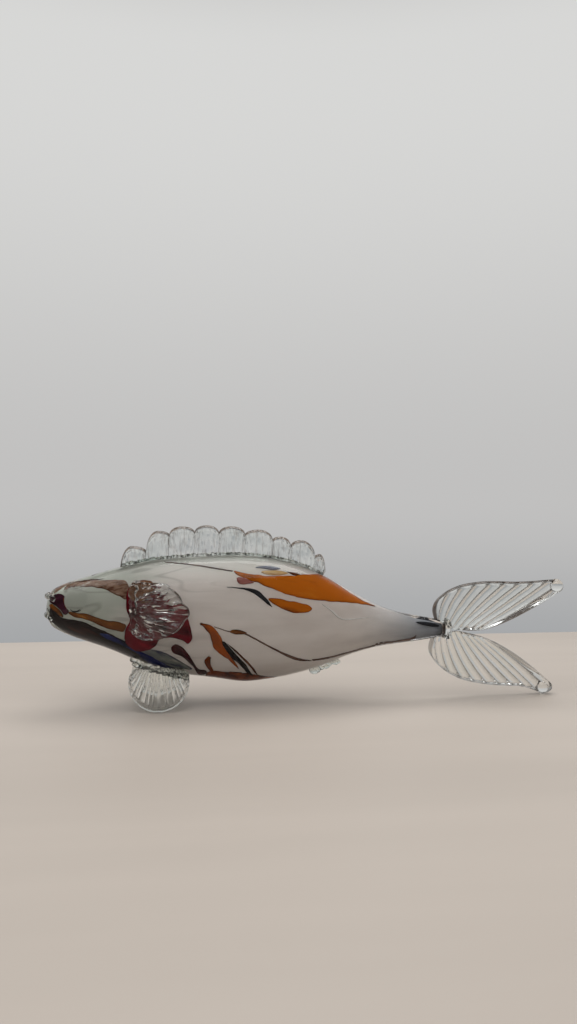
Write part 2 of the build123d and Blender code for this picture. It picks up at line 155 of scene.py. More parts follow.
def applied(piece):
    """Bakes a piece's modifiers into a plain mesh."""
    graph = bpy.context.evaluated_depsgraph_get()
    graph.update()
    baked = bpy.data.meshes.new_from_object(piece.evaluated_get(graph))
    piece.modifiers.clear()
    piece.data = baked
    baked.shade_smooth()
    turn_out(baked)
    return piece


# %% Melt pieces together
def melted(name, pieces, grain=0.4, soft=6):
    """Joins closed pieces into one skin, as hot glass does, and smooths what is left of the joints."""
    together = pieces[0]
    if len(pieces) > 1:
        with bpy.context.temp_override(
            active_object=together, selected_editable_objects=pieces, object=together
        ):
            bpy.ops.object.join()
    together.name = name
    together.data.name = name
    # The painted shade of edges and valleys is carried over to the new skin from the nearest old point.
    painted_shade_marks = together.data.attributes.get("painted_shade")
    if painted_shade_marks:
        tree = KDTree(len(together.data.vertices))
        for vertex in together.data.vertices:
            tree.insert(vertex.co, vertex.index)
        tree.balance()
        values = [mark.value for mark in painted_shade_marks.data]
    remesh = together.modifiers.new("skin", "REMESH")
    remesh.mode = "VOXEL"
    remesh.voxel_size = grain * MM
    smooth = together.modifiers.new("soften", "SMOOTH")
    smooth.iterations = soft
    applied(together)
    if painted_shade_marks:
        layer = together.data.attributes.new("painted_shade", "FLOAT", "POINT")
        near = [values[tree.find(vertex.co)[1]] for vertex in together.data.vertices]
        layer.data.foreach_set("value", near)
    return together


# %% [markdown]
# ## Clear crystal
# Crystal bends light, and its colour only shows where it is thick. Hand-made crystal is never
# quite flat either: a slow bump makes its reflections swim. The two tints are mixed by a noise in
# object space, so that they stay on the glass when the camera moves. Where glass is drawn into
# edges and valleys it bends the light so far that they look dark, so shade is painted there: a
# number that each mesh carries darkens the glass's colour towards a tint of painted shade.


# %% Make the tools that finishes are mixed with
def start_finish(name):
    """A new node material and its main shader."""
    finish = bpy.data.materials.new(name)
    finish.use_nodes = True
    return finish, finish.node_tree, finish.node_tree.nodes["Principled BSDF"]


def cloud(tree, size, detail=3.0, stretch=(1.0, 1.0, 1.0), shift=0.0, lean=0.0):
    """Noise in object space, in patches of about that many millimetres. lean turns it, in degrees."""
    place = tree.nodes.new("ShaderNodeTexCoord")
    mapping = tree.nodes.new("ShaderNodeMapping")
    mapping.vector_type = "TEXTURE"
    mapping.inputs["Location"].default_value = (shift, shift, shift)
    mapping.inputs["Rotation"].default_value = (0, math.radians(lean), 0)
    mapping.inputs["Scale"].default_value = [size * MM * s for s in stretch]
    tree.links.new(place.outputs["Object"], mapping.inputs["Vector"])
    noise_node = tree.nodes.new("ShaderNodeTexNoise")
    noise_node.inputs["Scale"].default_value = 1
    noise_node.inputs["Detail"].default_value = detail
    tree.links.new(mapping.outputs["Vector"], noise_node.inputs["Vector"])
    return Wire(tree, noise_node.outputs["Fac"])


def tint(tree, share, low_colour, high_colour):
    """A colour between two, by a share from 0 to 1."""
    node = tree.nodes.new("ShaderNodeMix")
    node.data_type = "RGBA"
    plug(tree, share, node.inputs["Factor"])
    for value, socket in zip((low_colour, high_colour), (node.inputs[6], node.inputs[7])):
        plug(tree, value if isinstance(value, Wire) else (*value, 1), socket)
    return Wire(tree, node.outputs[2])


def swim(tree, shader, height, depth):
    """Bump from a wire of heights, in millimetres."""
    bump = tree.nodes.new("ShaderNodeBump")
    bump.inputs["Distance"].default_value = depth * MM
    bump.inputs["Strength"].default_value = 1
    plug(tree, height, bump.inputs["Height"])
    tree.links.new(bump.outputs["Normal"], shader.inputs["Normal"])


def attribute(tree, label):
    """A number that a piece's own mesh carries."""
    node = tree.nodes.new("ShaderNodeAttribute")
    node.attribute_name = label
    return Wire(tree, node.outputs["Fac"])


# %% Mix the crystal finishes
CRYSTAL_INDEX = 1.5
TINT_PATCH = 30
STREAK_SHARE, STREAK_SHIFT = 0.6, 0.03


def crystal(name, tints, wave, depth, gloss=0.0, stretch=(1, 1, 1), painted_shade=None, mirror=1.0, streak=None):
    """Clear glass between two tints. wave and depth are the size and the height of the slow wave in
    its surface, the painted shade tint is the colour that darkens its edges and valleys where the
    glass bends light away, mirror dims its reflections, and streak is the tint of the streaks along
    the stretch."""
    finish, tree, shader = start_finish(name)
    shader.inputs["Transmission Weight"].default_value = 1
    shader.inputs["Roughness"].default_value = gloss
    shader.inputs["IOR"].default_value = CRYSTAL_INDEX
    shader.inputs["Specular Tint"].default_value = (mirror, mirror, mirror, 1)
    glass = tint(tree, cloud(tree, TINT_PATCH).ramp(0.3, 0.7), *tints)
    if streak:
        share = cloud(tree, wave, 2, stretch, STREAK_SHIFT).ramp(0.55, 0.66) * STREAK_SHARE
        glass = tint(tree, share, glass, streak)
    # Painted shade: the mesh's number darkens the glass towards its shade tint on edges and in valleys.
    if painted_shade:
        glass = tint(tree, attribute(tree, "painted_shade"), glass, painted_shade)
    plug(tree, glass, shader.inputs["Base Color"])
    swim(tree, shader, cloud(tree, wave, 1.5, stretch), depth)
    return finish


CASE_TINTS = (1.0, 1.0, 0.995), (0.98, 0.985, 0.975)
FIN_TINTS = (0.99, 1.0, 0.99), (0.94, 0.97, 0.95)
DORSAL_TINTS = (0.99, 1.0, 0.99), (0.90, 0.94, 0.92)
PECTORAL_TINTS = (0.99, 1.0, 0.99), (0.93, 0.95, 0.94)
GATHER_TINTS = (0.94, 0.96, 0.94), (0.66, 0.72, 0.67)
case_crystal = crystal("case_crystal", CASE_TINTS, 16, 0.10, stretch=(2, 1, 1), mirror=0.45)
# The last tint given to each fin glass is its painted shade, for edges and valleys where the glass bends
# light away.
fin_crystal = crystal("fin_crystal", FIN_TINTS, 5, 0.10, painted_shade=(0.09, 0.07, 0.055))
lobe_crystal = crystal("lobe_crystal", FIN_TINTS, 5, 0.10, painted_shade=(0.035, 0.025, 0.02))
streaked_crystal = crystal(
    "streaked_crystal", DORSAL_TINTS, 1.3, 0.50,
    stretch=(1, 2, 7), painted_shade=(0.09, 0.065, 0.05), streak=(0.42, 0.38, 0.35),
)
crumpled_crystal = crystal(
    "crumpled_crystal", PECTORAL_TINTS, 1.8, 0.30,
    stretch=(4, 2, 1), painted_shade=(0.10, 0.08, 0.07), streak=(0.40, 0.30, 0.28),
)
gather_crystal = crystal("gather_crystal", GATHER_TINTS, 1.4, 0.35, 0.02, streak=(0.22, 0.24, 0.21))
print("crystal finishes made")

# %% [markdown]
# ## The body's surfaces
# The lining and the casing were blown as one bubble, so they follow each other. Rays shot at the
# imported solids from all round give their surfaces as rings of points. The rings are evened a
# little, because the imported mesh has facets, and a slow noise then takes the machine-made
# evenness out of them.


# %% Measure a solid in rings
def probe(node):
    """A tree that rays can be shot at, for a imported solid, in millimetres."""
    mesh = frame["nodes"][node].data
    points = [vertex.co / MM for vertex in mesh.vertices]
    return BVHTree.FromPolygons(points, [tuple(face.vertices) for face in mesh.polygons])


FAR = 200


def measured_rings(tree, stations, around):
    """Rings of points on the outside of a solid, at places along X."""
    angles = np.linspace(0, 2 * math.pi, around, endpoint=False)
    rings = []
    for x in stations:
        top = tree.ray_cast(Vector((x, 0, FAR)), Vector((0, 0, -1)))[0]
        bottom = tree.ray_cast(Vector((x, 0, -FAR)), Vector((0, 0, 1)))[0]
        middle = (top + bottom) / 2
        ring = []
        for angle in angles:
            out = Vector((0, math.sin(angle), math.cos(angle)))
            ring.append(tree.ray_cast(middle + out * FAR, -out)[0])
        rings.append(ring)
    return np.array(rings, float)


def evened(rings, passes):
    """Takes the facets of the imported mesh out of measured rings."""
    for _ in range(passes):
        rings = (np.roll(rings, 1, axis=1) + 2 * rings + np.roll(rings, -1, axis=1)) / 4
        rings[1:-1] = (rings[:-2] + 2 * rings[1:-1] + rings[2:]) / 4
    return rings


# %% Close rings into a skin
def tube_faces(rows, around):
    """Quads between rings, wound so that they face outwards, and one fan at each end."""
    faces = []
    for row in range(rows - 1):
        for step in range(around):
            after = (step + 1) % around
            here, ahead = row * around, (row + 1) * around
            faces.append((here + step, ahead + step, ahead + after, here + after))
    first, last = rows * around, rows * around + 1
    for step in range(around):
        after = (step + 1) % around
        faces.append((first, step, after))
        faces.append((last, (rows - 1) * around + after, (rows - 1) * around + step))
    return faces


def both_ends_dense(count):
    """Shares from 0 to 1, closer together near both ends."""
    return (1 - np.cos(np.linspace(0, math.pi, count))) / 2


def eased_stations(start, end, count):
    """Places between two, closer together near the ends."""
    return start + (end - start) * both_ends_dense(count)


def blown(name, rings, end_points):
    """A closed skin through rings, with a point at each end."""
    rows, around = rings.shape[:2]
    points = np.vstack([rings.reshape(-1, 3), np.array(end_points, float)])
    return new_piece(name, points, tube_faces(rows, around))


skin_tree = probe("crystal_casing")
lining_tree = probe("white_lining")
print("probes ready")


# %% [markdown]
# ## The clear casing
# Only the casing's outer surface is made. The lining and the chips sit inside it as if it were
# solid crystal, so there is no second surface in the way of the light. Its nose is rounded off,
# because the mouth is only the gap between the two lips.


# %% Blow the casing
CASE_ROWS, CASE_AROUND = 230, 144
CASE_EVENING = 4
NOSE_X, STEM_X = -168.9, 89.9
NOSE_ROUND, NOSE_LEAST = 4.5, 0.2
WOBBLE, WOBBLE_SIZE, WOBBLE_REACH = 0.4, 22, 20


def wobbled(rings):
    """Rings moved inwards by a slow noise, less where the body is thin."""
    middles = rings.mean(axis=1, keepdims=True)
    out = rings - middles
    reach = np.linalg.norm(out, axis=2, keepdims=True)
    shift = np.array([[noise.noise(Vector(point) / WOBBLE_SIZE) for point in ring] for ring in rings])
    dent = WOBBLE * (0.5 + 0.5 * shift)[..., None] * np.minimum(reach / WOBBLE_REACH, 1)
    return rings - out / reach * dent


def round_nose(rings):
    """Draws the first rings in, so that the nose ends in a round cap."""
    for ring in rings:
        depth = min((ring[0, 0] - NOSE_X) / NOSE_ROUND, 1)
        width = NOSE_LEAST + (1 - NOSE_LEAST) * math.sqrt(max(1 - (1 - depth) ** 2, 0))
        middle = ring[:, 1:].mean(axis=0)
        ring[:, 1:] = middle + (ring[:, 1:] - middle) * width


case_rings = measured_rings(skin_tree, eased_stations(NOSE_X, STEM_X, CASE_ROWS), CASE_AROUND)
case_rings = wobbled(evened(case_rings, CASE_EVENING))
round_nose(case_rings)
case = blown("clear_casing", case_rings, (case_rings[0].mean(axis=0), case_rings[-1].mean(axis=0)))
case.data.materials.append(case_crystal)
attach(case, "root")
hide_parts("crystal_casing")
print("casing:", len(case.data.polygons), "faces")

# %% [markdown]
# ## The white lining
# Opal glass is white because it scatters light. Here it is thick and even over the belly, thin
# and grey-green in the head, and smoky blue in the tail stem. All of that is painted by place
# along the fish, with streaks drawn out along the flow of the glass.


# %% Mix the opal
CROWN_STREAK, HEAD_STREAK, STEM_STREAK, STEM_END_STREAK = 20, 70, 30, 10
OPAL_WHITE, OPAL_SHADE = (0.79, 0.735, 0.69), (0.67, 0.61, 0.565)
CROWN_TINT, HEAD_TINT = (0.73, 0.75, 0.69), (0.47, 0.49, 0.43)
STEM_TINT, STEM_END_TINT = (0.27, 0.285, 0.31), (0.08, 0.085, 0.09)
VEIN_TINT = (0.16, 0.15, 0.12)
CROWN_SPAN, HEAD_SPAN = (86, 108), (118, 165)
STEM_SPAN, STEM_END_SPAN = (36, 92), (84, 93)
VEIN_SPAN, VEIN_SHARE = (40, 120), 0.35


def along_fish(tree):
    """The X and Z of a point in millimetres, as wires."""
    place = tree.nodes.new("ShaderNodeTexCoord")
    split = tree.nodes.new("ShaderNodeSeparateXYZ")
    tree.links.new(place.outputs["Object"], split.inputs[0])
    return Wire(tree, split.outputs["X"]) * (1 / MM), Wire(tree, split.outputs["Z"]) * (1 / MM)


def opal(name):
    """White glass that turns grey-green at the crown and the head, and smoky in the stem."""
    finish, tree, shader = start_finish(name)
    x, z = along_fish(tree)
    streak = cloud(tree, 12, 4, (6, 1, 1))
    body = tint(tree, streak.ramp(0.35, 0.75), OPAL_WHITE, OPAL_SHADE)
    crown = tint(tree, (z + streak * CROWN_STREAK).ramp(*CROWN_SPAN), body, CROWN_TINT)
    head = tint(tree, (x * -1 + streak * HEAD_STREAK).ramp(*HEAD_SPAN), crown, HEAD_TINT)
    stem = tint(tree, (x + streak * STEM_STREAK).ramp(*STEM_SPAN), head, STEM_TINT)
    stem = tint(tree, (x + streak * STEM_END_STREAK).ramp(*STEM_END_SPAN), stem, STEM_END_TINT)
    vein = (cloud(tree, 30, 2, (5, 1, 1), 0.02) * 11).math("FRACT")
    vein = vein.ramp(0.35, 0.5) * (vein * -1).ramp(-0.62, -0.5)
    veined = tint(tree, vein * (x * -1).ramp(*VEIN_SPAN) * VEIN_SHARE, stem, VEIN_TINT)
    plug(tree, veined, shader.inputs["Base Color"])
    shader.inputs["Roughness"].default_value = 0.5
    shader.inputs["Specular IOR Level"].default_value = 0.0
    swim(tree, shader, cloud(tree, 14, 2, (3, 1, 1)), 0.2)
    return finish


white_opal = opal("white_opal")
print("opal mixed")

# %% Blow the lining
LINING_ROWS, LINING_AROUND, STEM_ROWS = 150, 96, 18
LINING_EVENING = 3
LINING_GAP = 1.5
CORE_END, STEM_FILL = 86.3, 0.60
STEM_START, STEM_SLIM, STEM_DROP = 34, 0.12, 0.5
lining_box = [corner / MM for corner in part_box("white_lining")]
LINING_START, LINING_END = lining_box[0].x + 0.1, lining_box[1].x - LINING_GAP


def drawn_out(rings):
    """Carries the lining on inside the stem, as the casing narrows, to the knuckle."""
    stations = np.linspace(LINING_END + LINING_GAP, CORE_END, STEM_ROWS)
    outer = measured_rings(skin_tree, np.concatenate([[LINING_END], stations]), LINING_AROUND)
    middles = outer.mean(axis=1, keepdims=True)
    start = np.abs(rings[-1] - middles[0]).max() / np.abs(outer[0] - middles[0]).max()
    share = (stations - LINING_END) / (CORE_END - LINING_END)
    scale = (start + (STEM_FILL - start) * share)[:, None, None] * [0, 1, 1] + [1, 0, 0]
    return np.concatenate([rings, middles[1:] + (outer[1:] - middles[1:]) * scale])


def slim_stem(rings):
    """Draws the lining in and down towards the end of the stem, so that a clear margin shows."""
    for ring in rings:
        share = np.clip((ring[0, 0] - STEM_START) / (CORE_END - STEM_START), 0, 1)
        middle = ring.mean(axis=0) * [0, 1, 1]
        drop_by = [0, STEM_DROP * share]
        ring[:, 1:] = middle[1:] + (ring[:, 1:] - middle[1:]) * (1 - STEM_SLIM * share) - drop_by


lining_stations = eased_stations(LINING_START, LINING_END, LINING_ROWS)
lining_rings = evened(measured_rings(lining_tree, lining_stations, LINING_AROUND), LINING_EVENING)
lining_rings = drawn_out(lining_rings)
slim_stem(lining_rings)
lining = blown("opal_lining", lining_rings, (lining_rings[0].mean(axis=0), lining_rings[-1].mean(axis=0)))
lining.data.materials.append(white_opal)
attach(lining, "root")
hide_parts("white_lining")
print("lining:", len(lining.data.polygons), "faces")


# %% [markdown]
# ## Coloured chips
# The gaffer rolls the hot bubble over crushed coloured glass and pulls it lengthwise, so each chip
# is a drawn-out flake whose colour runs in streaks and is darker along its outline. One function
# mixes three colours by a stretched noise, and each chip's glass is one row of a table: its dark,
# main and light colour, and, where they differ, the size of the streaks and the way they lean.


# %% Mix the chip colours
def chip_glass(name, deep, main, light, size=8.0, lean=0.0):
    """Streaky coloured glass from three colours, darker along its outline."""
    finish, tree, shader = start_finish(name)
    flow = cloud(tree, size, 5, (4, 1, 1), lean=lean)
    lower = tint(tree, flow.ramp(0.30, 0.52), deep, main)
    body = tint(tree, flow.ramp(0.56, 0.74), lower, light)
    outline = attribute(tree, "rim") * cloud(tree, 5, 2, (2, 1, 1), 0.01, lean).ramp(0.35, 0.6)
    plug(tree, tint(tree, outline * 0.9, body, deep), shader.inputs["Base Color"])
    shader.inputs["Roughness"].default_value = 0.5
    shader.inputs["Specular IOR Level"].default_value = 0.0
    swim(tree, shader, cloud(tree, 6, 2, (3, 1, 1), lean=lean), 0.1)
    return finish


CHIP_COLOURS = {
    "amber_glass": ((0.16, 0.035, 0.006), (0.52, 0.135, 0.006), (0.60, 0.20, 0.015), 12, 12),
    "honey_glass": ((0.42, 0.25, 0.10), (0.62, 0.42, 0.20), (0.74, 0.58, 0.36)),
    "blue_grey_glass": ((0.10, 0.11, 0.16), (0.26, 0.28, 0.34), (0.46, 0.48, 0.50)),
    "brown_glass": ((0.035, 0.010, 0.005), (0.11, 0.03, 0.012), (0.24, 0.085, 0.03)),
    "red_glass": ((0.04, 0.001, 0.004), (0.16, 0.002, 0.010), (0.34, 0.004, 0.018), 7, 20),
    "black_glass": ((0.002, 0.0015, 0.002), (0.006, 0.003, 0.003), (0.03, 0.010, 0.005)),
    "cobalt_glass": ((0.002, 0.002, 0.010), (0.006, 0.010, 0.085), (0.04, 0.06, 0.20), 5, 22),
    "plum_glass": ((0.018, 0.004, 0.008), (0.055, 0.010, 0.025), (0.10, 0.03, 0.05)),
    "smoke_glass": ((0.010, 0.010, 0.012), (0.025, 0.026, 0.03), (0.07, 0.075, 0.085)),
    "slanted_amber": ((0.06, 0.014, 0.003), (0.36, 0.075, 0.006), (0.55, 0.16, 0.012), 8, 55),
    "slanted_brown": ((0.03, 0.006, 0.002), (0.19, 0.035, 0.005), (0.38, 0.09, 0.015), 5, 60),
    "brow_glass": ((0.09, 0.035, 0.02), (0.26, 0.16, 0.11), (0.56, 0.53, 0.46), 2.2, -6),
    "mottled_red": ((0.22, 0.06, 0.05), (0.34, 0.14, 0.12), (0.48, 0.30, 0.27), 5),
    "throat_glass": ((0.012, 0.016, 0.06), (0.17, 0.18, 0.17), (0.44, 0.42, 0.33), 4, 24),
    "olive_amber": ((0.035, 0.010, 0.004), (0.17, 0.055, 0.010), (0.36, 0.13, 0.02), 5, 18),
    "thread_glass": ((0.05, 0.022, 0.015), (0.17, 0.10, 0.075), (0.34, 0.26, 0.22), 9, 20),
    "jaw_glass": ((0.002, 0.0015, 0.002), (0.008, 0.003, 0.003), (0.07, 0.016, 0.008), 7, 24),
    "maroon_glass": ((0.018, 0.002, 0.003), (0.065, 0.004, 0.007), (0.14, 0.008, 0.012), 6, 45),
    "pale_glass": ((0.62, 0.60, 0.57), (0.82, 0.80, 0.77), (0.90, 0.89, 0.87)),
}
chip_glasses = {name: chip_glass(name, *mix) for name, mix in CHIP_COLOURS.items()}
print("chip colours:", len(chip_glasses))

# %% [markdown]
# ## The chips of the far side
# The photograph doesn't show them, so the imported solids' own outlines serve. Their meshes are
# loose triangles, so each is copied, its corners are merged and it is shaded smooth. The far
# chip of the mouth lies behind the clear brow, so it has the brow's own glass.


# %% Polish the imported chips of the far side
POLISH_WELD, POLISH_ANGLE = 0.00001, math.radians(40)


def polished(node, name, finish):
    """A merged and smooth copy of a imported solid, which stands for it."""
    mesh = frame["nodes"][node].data.copy()
    piece = bpy.data.objects.new(name, mesh)
    bpy.context.scene.collection.objects.link(piece)
    weld = piece.modifiers.new("weld", "WELD")
    weld.merge_threshold = POLISH_WELD
    applied(piece)
    piece.data.set_sharp_from_angle(angle=POLISH_ANGLE)
    piece.data.materials.clear()
    piece.data.materials.append(finish)
    return piece


FAR_FINISHES = {"mouth_plum_patch_right": "brow_glass"}
slot_of = {entry["node"]: entry["material_slot"] for entry in frame["record"]["subparts"]}
for node in (name for name in slot_of if name.endswith("_right") and slot_of[name] in chip_glasses):
    chip = polished(node, node + "_chip", chip_glasses[FAR_FINISHES.get(node, slot_of[node])])
    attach(chip, "root")
    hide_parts(node)
    print(chip.name, len(chip.data.polygons), "faces")

# %% [markdown]
# ## Chips laid one by one
# The chips on the near side decide the likeness, so each is cut from an outline read off the
# photograph: its upper and its lower edge, from tip to tip. A ray from the camera finds where an
# outline point lies. The crystal bends the ray, as it does for the eye, before it meets the lining.

# %% Look through the crystal
CAMERA_PLACE = np.array([-79.6, -517.1, 123.0])
CAMERA_TURN = math.radians(7)
AHEAD = np.array([math.sin(CAMERA_TURN), math.cos(CAMERA_TURN), 0])
RIGHTWARD = np.array([math.cos(CAMERA_TURN), -math.sin(CAMERA_TURN), 0])
UPWARD = np.array([0, 0, 1.0])
FRAME_MIDDLE = (288.5, 512.0)
FRAME_FOCUS = 800.0
FISH_AWAY = 515
CRYSTAL_BEND = 1 / CRYSTAL_INDEX
CASING_REACH, NUDGE = 12, 0.02


def seen_at(u, v):
    """Where the eye sees the lining through a pixel, and which way is out there."""
    across, up = u - FRAME_MIDDLE[0], FRAME_MIDDLE[1] - v
    ray = Vector(AHEAD + RIGHTWARD * across / FRAME_FOCUS + UPWARD * up / FRAME_FOCUS).normalized()
    entry, out, _, _ = skin_tree.ray_cast(Vector(CAMERA_PLACE), ray)
    if entry is None:
        entry, out, _, _ = skin_tree.find_nearest(Vector(CAMERA_PLACE) + ray * FISH_AWAY)
    facing = max(-out.dot(ray), 0.0)
    sideways = math.sqrt(1 - CRYSTAL_BEND**2 * (1 - facing**2))
    inside = ray * CRYSTAL_BEND + out * (CRYSTAL_BEND * facing - sideways)
    spot = lining_tree.ray_cast(entry + inside * NUDGE, inside, CASING_REACH)[0]
    return np.array(spot or lining_tree.find_nearest(entry)[0]), np.array(out)


def inside_outline(points, outline):
    """Which points lie inside a closed outline."""
    after = np.roll(outline, -1, axis=0)
    u, v = points[:, :1], points[:, 1:]
    spans = (outline[:, 1] > v) != (after[:, 1] > v)
    rise = np.where(after[:, 1] == outline[:, 1], 1, after[:, 1] - outline[:, 1])
    crossing = u < (after[:, 0] - outline[:, 0]) * (v - outline[:, 1]) / rise + outline[:, 0]
    return (spans & crossing).sum(axis=1) % 2 == 1


def curve_through(points, count):
    """Evenly spaced points along a smooth course through a few points."""
    points = np.array(points, float)
    padded = np.vstack([2 * points[0] - points[1], points, 2 * points[-1] - points[-2]])
    dense = []
    for i in range(len(points) - 1):
        a, b, c, d = padded[i : i + 4]
        for t in np.linspace(0, 1, 24, endpoint=False):
            square, cube = (2 * a - 5 * b + 4 * c - d) * t**2, (3 * b - a - 3 * c + d) * t**3
            dense.append(0.5 * (2 * b + (c - a) * t + square + cube))
    dense = np.array([*dense, points[-1]])
    length = np.concatenate([[0], np.cumsum(np.linalg.norm(np.diff(dense, axis=0), axis=1))])
    places = np.interp(np.linspace(0, length[-1], count), length, np.arange(len(dense)))
    return np.stack([np.interp(places, np.arange(len(dense)), dense[:, i]) for i in range(2)], axis=1)


# %% Cut a chip from its outline
EDGE_STEP, LEAST_STEPS = 0.8, 12
WANDER_SIZE, WANDER_SHARE, WANDER_MOST = 4.5, 0.12, 0.9
CLEAR_OF_EDGE = 0.45


def cut_chip(upper, lower, grain):
    """The outline of a chip, its thickness, and the corners and triangles of its sheet, in pixels."""
    span = np.linalg.norm(np.diff(np.array(upper, float), axis=0), axis=1).sum()
    count = max(int(span / EDGE_STEP), LEAST_STEPS)
    outline = np.vstack([curve_through(upper, count), curve_through(lower, count)[-2:0:-1]])
    wander = [noise.noise_vector(Vector((u, v, 0)) / WANDER_SIZE).xy for u, v in outline.tolist()]
    thick = np.linalg.norm(curve_through(upper, 9)[4] - curve_through(lower, 9)[4])
    outline += np.array(wander) * min(thick * WANDER_SHARE, WANDER_MOST)
    low, high = outline.min(axis=0), outline.max(axis=0)
    across, down = (np.arange(low[i], high[i], grain) for i in range(2))
    inner = np.stack(np.meshgrid(across, down), axis=-1).reshape(-1, 2)
    inner = inner[inside_outline(inner, outline)]
    gaps = np.linalg.norm(inner[:, None] - outline[None], axis=2).min(axis=1)
    flat = np.vstack([outline, inner[gaps > CLEAR_OF_EDGE * grain]])
    border = [list(range(len(outline)))]
    made = geometry.delaunay_2d_cdt([Vector(point) for point in flat], [], border, 1, 1e-6, False)
    corners = np.array([tuple(corner) for corner in made[0]])
    middles = np.array([corners[list(face)].mean(axis=0) for face in made[2]])
    triangles = [face for face, kept in zip(made[2], inside_outline(middles, outline)) if kept]
    return outline, thick, corners, triangles


def flake_faces(triangles, count):
    """The sheet, the same sheet turned over below it, and a wall round their border."""
    faces = [tuple(face) for face in triangles]
    faces += [tuple(count + corner for corner in reversed(face)) for face in triangles]
    pairs = {}
    for face in triangles:
        for a, b in zip(face, (*face[1:], face[0])):
            pairs[(a, b)] = (b, a) in pairs or pairs.get((a, b), False)
            if (b, a) in pairs:
                pairs[(b, a)] = True
    return faces + [(b, a, count + a, count + b) for (a, b), shared in pairs.items() if not shared]


# %% Lay a chip on the lining
PIXEL = 0.62
CHIP_GRAIN, CHIP_RIM = 1.1, 0.55
CHIP_SINK, CHIP_EDGE, CHIP_CROWN, CROWN_REACH = 0.5, 0.25, 0.65, 1.2
CHIP_ANGLE = math.radians(50)
BROAD, BROAD_PASSES = 3, 5


def dressed(piece, finish, node):
    """Gives a chip its glass and its place in the frame."""
    piece.data.materials.append(chip_glasses[finish])
    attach(piece, "root")
    if node:
        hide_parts(node)
    print(piece.name, len(piece.data.polygons), "faces")


def laid_chip(
    name, edges, finish, node=None, grain=CHIP_GRAIN, rim_width=CHIP_RIM, over=0.0
):
    """A flake of glass laid on the lining. Its row of edges holds its upper and its lower edge in
    pixels of the photograph, and over lifts it onto another chip."""
    outline, thick, corners, triangles = cut_chip(*edges[name], grain)
    gaps = np.linalg.norm(corners[:, None] - outline[None], axis=2).min(axis=1) * PIXEL
    spots, outs = (np.array(part) for part in zip(*(seen_at(*corner) for corner in corners)))
    border = np.arange(len(outline))
    for _ in range(BROAD_PASSES if thick > BROAD else 0):
        spots[border] = (spots[border - 1] + 2 * spots[border] + spots[(border + 1) % len(border)]) / 4
    lift = over + CHIP_EDGE + CHIP_CROWN * np.sqrt(np.clip(gaps / CROWN_REACH, 0, 1))
    points = np.vstack([spots + outs * lift[:, None], spots - outs * CHIP_SINK])
    dark = np.clip(1 - gaps / rim_width, 0, 1)
    faces = flake_faces(triangles, len(corners))
    piece = new_piece(name, points, faces, {"rim": np.concatenate([dark, dark])})
    turn_out(piece.data)
    piece.data.set_sharp_from_angle(angle=CHIP_ANGLE)
    dressed(piece, finish, node)


# %% [markdown]
# ## Bands that wrap round
# The black of the jaw and the brown under the belly go round below the fish to its far side. Each
# is a sheet on the lining: from the edge that the photograph shows, down and up again to the same
# height behind.


# %% Wrap a band
BAND_ROWS, BAND_COLUMNS = 110, 60
BAND_EDGE, BAND_CROWN, BAND_RIM = 0.6, 0.35, 0.5
FIRST_TURN, LAST_GAP = math.radians(20), 0.02


def band_faces(rows, columns):
    """Both sides of a grid of points and the wall round it."""
    count = rows * columns
    faces = []
    for i in range(rows - 1):
        for j in range(columns - 1):
            a, b = i * columns + j, (i + 1) * columns + j
            faces += [(a, b, b + 1, a + 1), (count + a, count + a + 1, count + b + 1, count + b)]
        for a, b in ((i * columns, (i + 1) * columns), ((i + 2) * columns - 1, (i + 1) * columns - 1)):
            faces.append((a, count + a, count + b, b))
    for j in range(columns - 1):
        for a, b in ((j + 1, j), (count - columns + j, count - columns + j + 1)):
            faces.append((a, count + a, count + b, b))
    return faces


def wrapped_band(name, edges, finish, node):
    """A sheet round the underside of the lining, below an edge in pixels of the photograph."""
    rows, columns = BAND_ROWS, BAND_COLUMNS
    seen = np.array([seen_at(*pixel)[0] for pixel in curve_through(edges[name], 60)])
    order = np.argsort(seen[:, 0])
    stations = seen[order[0], 0] + (seen[order[-1], 0] - seen[order[0], 0]) * both_ends_dense(rows)
    edge_z = np.interp(stations, seen[order, 0], seen[order, 2])
    turns = np.linspace(FIRST_TURN, math.pi, 120)
    spots, outs = [], []
    for x, level in zip(stations, edge_z):
        top = lining_tree.ray_cast(Vector((x, 0, FAR)), Vector((0, 0, -1)))[0]
        bottom = lining_tree.ray_cast(Vector((x, 0, -FAR)), Vector((0, 0, 1)))[0]
        middle = (top + bottom) / 2
        near = [Vector((0, -math.sin(turn), math.cos(turn))) for turn in turns]
        heights = [lining_tree.ray_cast(middle + out * FAR, -out)[0].z for out in near]
        below = int(np.argmax(np.array(heights) <= level + 0.01))
        first = min(turns[below] if min(heights) <= level else math.pi, math.pi - LAST_GAP)
        for turn in first + (2 * math.pi - 2 * first) * both_ends_dense(columns):
            out = Vector((0, -math.sin(turn), math.cos(turn)))
            spots.append(lining_tree.ray_cast(middle + out * FAR, -out)[0])
            outs.append(out)
    spots = np.array(spots).reshape(rows, columns, 3)
    outs = np.array(outs).reshape(rows, columns, 3)
    runs = np.linalg.norm(np.diff(spots, axis=1), axis=2)
    near_gap = np.concatenate([np.zeros((rows, 1)), np.cumsum(runs, axis=1)], axis=1)
    gap = np.minimum(near_gap, near_gap[:, -1:] - near_gap)
    gap = np.minimum(gap, np.minimum(stations - stations[0], stations[-1] - stations)[:, None])
    crown = BAND_CROWN * np.sqrt(np.clip(gap / CROWN_REACH, 0, 1))
    lift = (CHIP_EDGE * BAND_EDGE + crown)[..., None]
    top, bottom = (spots + outs * lift).reshape(-1, 3), (spots - outs * CHIP_SINK).reshape(-1, 3)
    rim = np.clip(1 - gap / BAND_RIM, 0, 1).ravel()
    piece = new_piece(
        name, np.vstack([top, bottom]), band_faces(rows, columns), {"rim": np.concatenate([rim, rim])}
    )
    turn_out(piece.data)
    dressed(piece, finish, node)


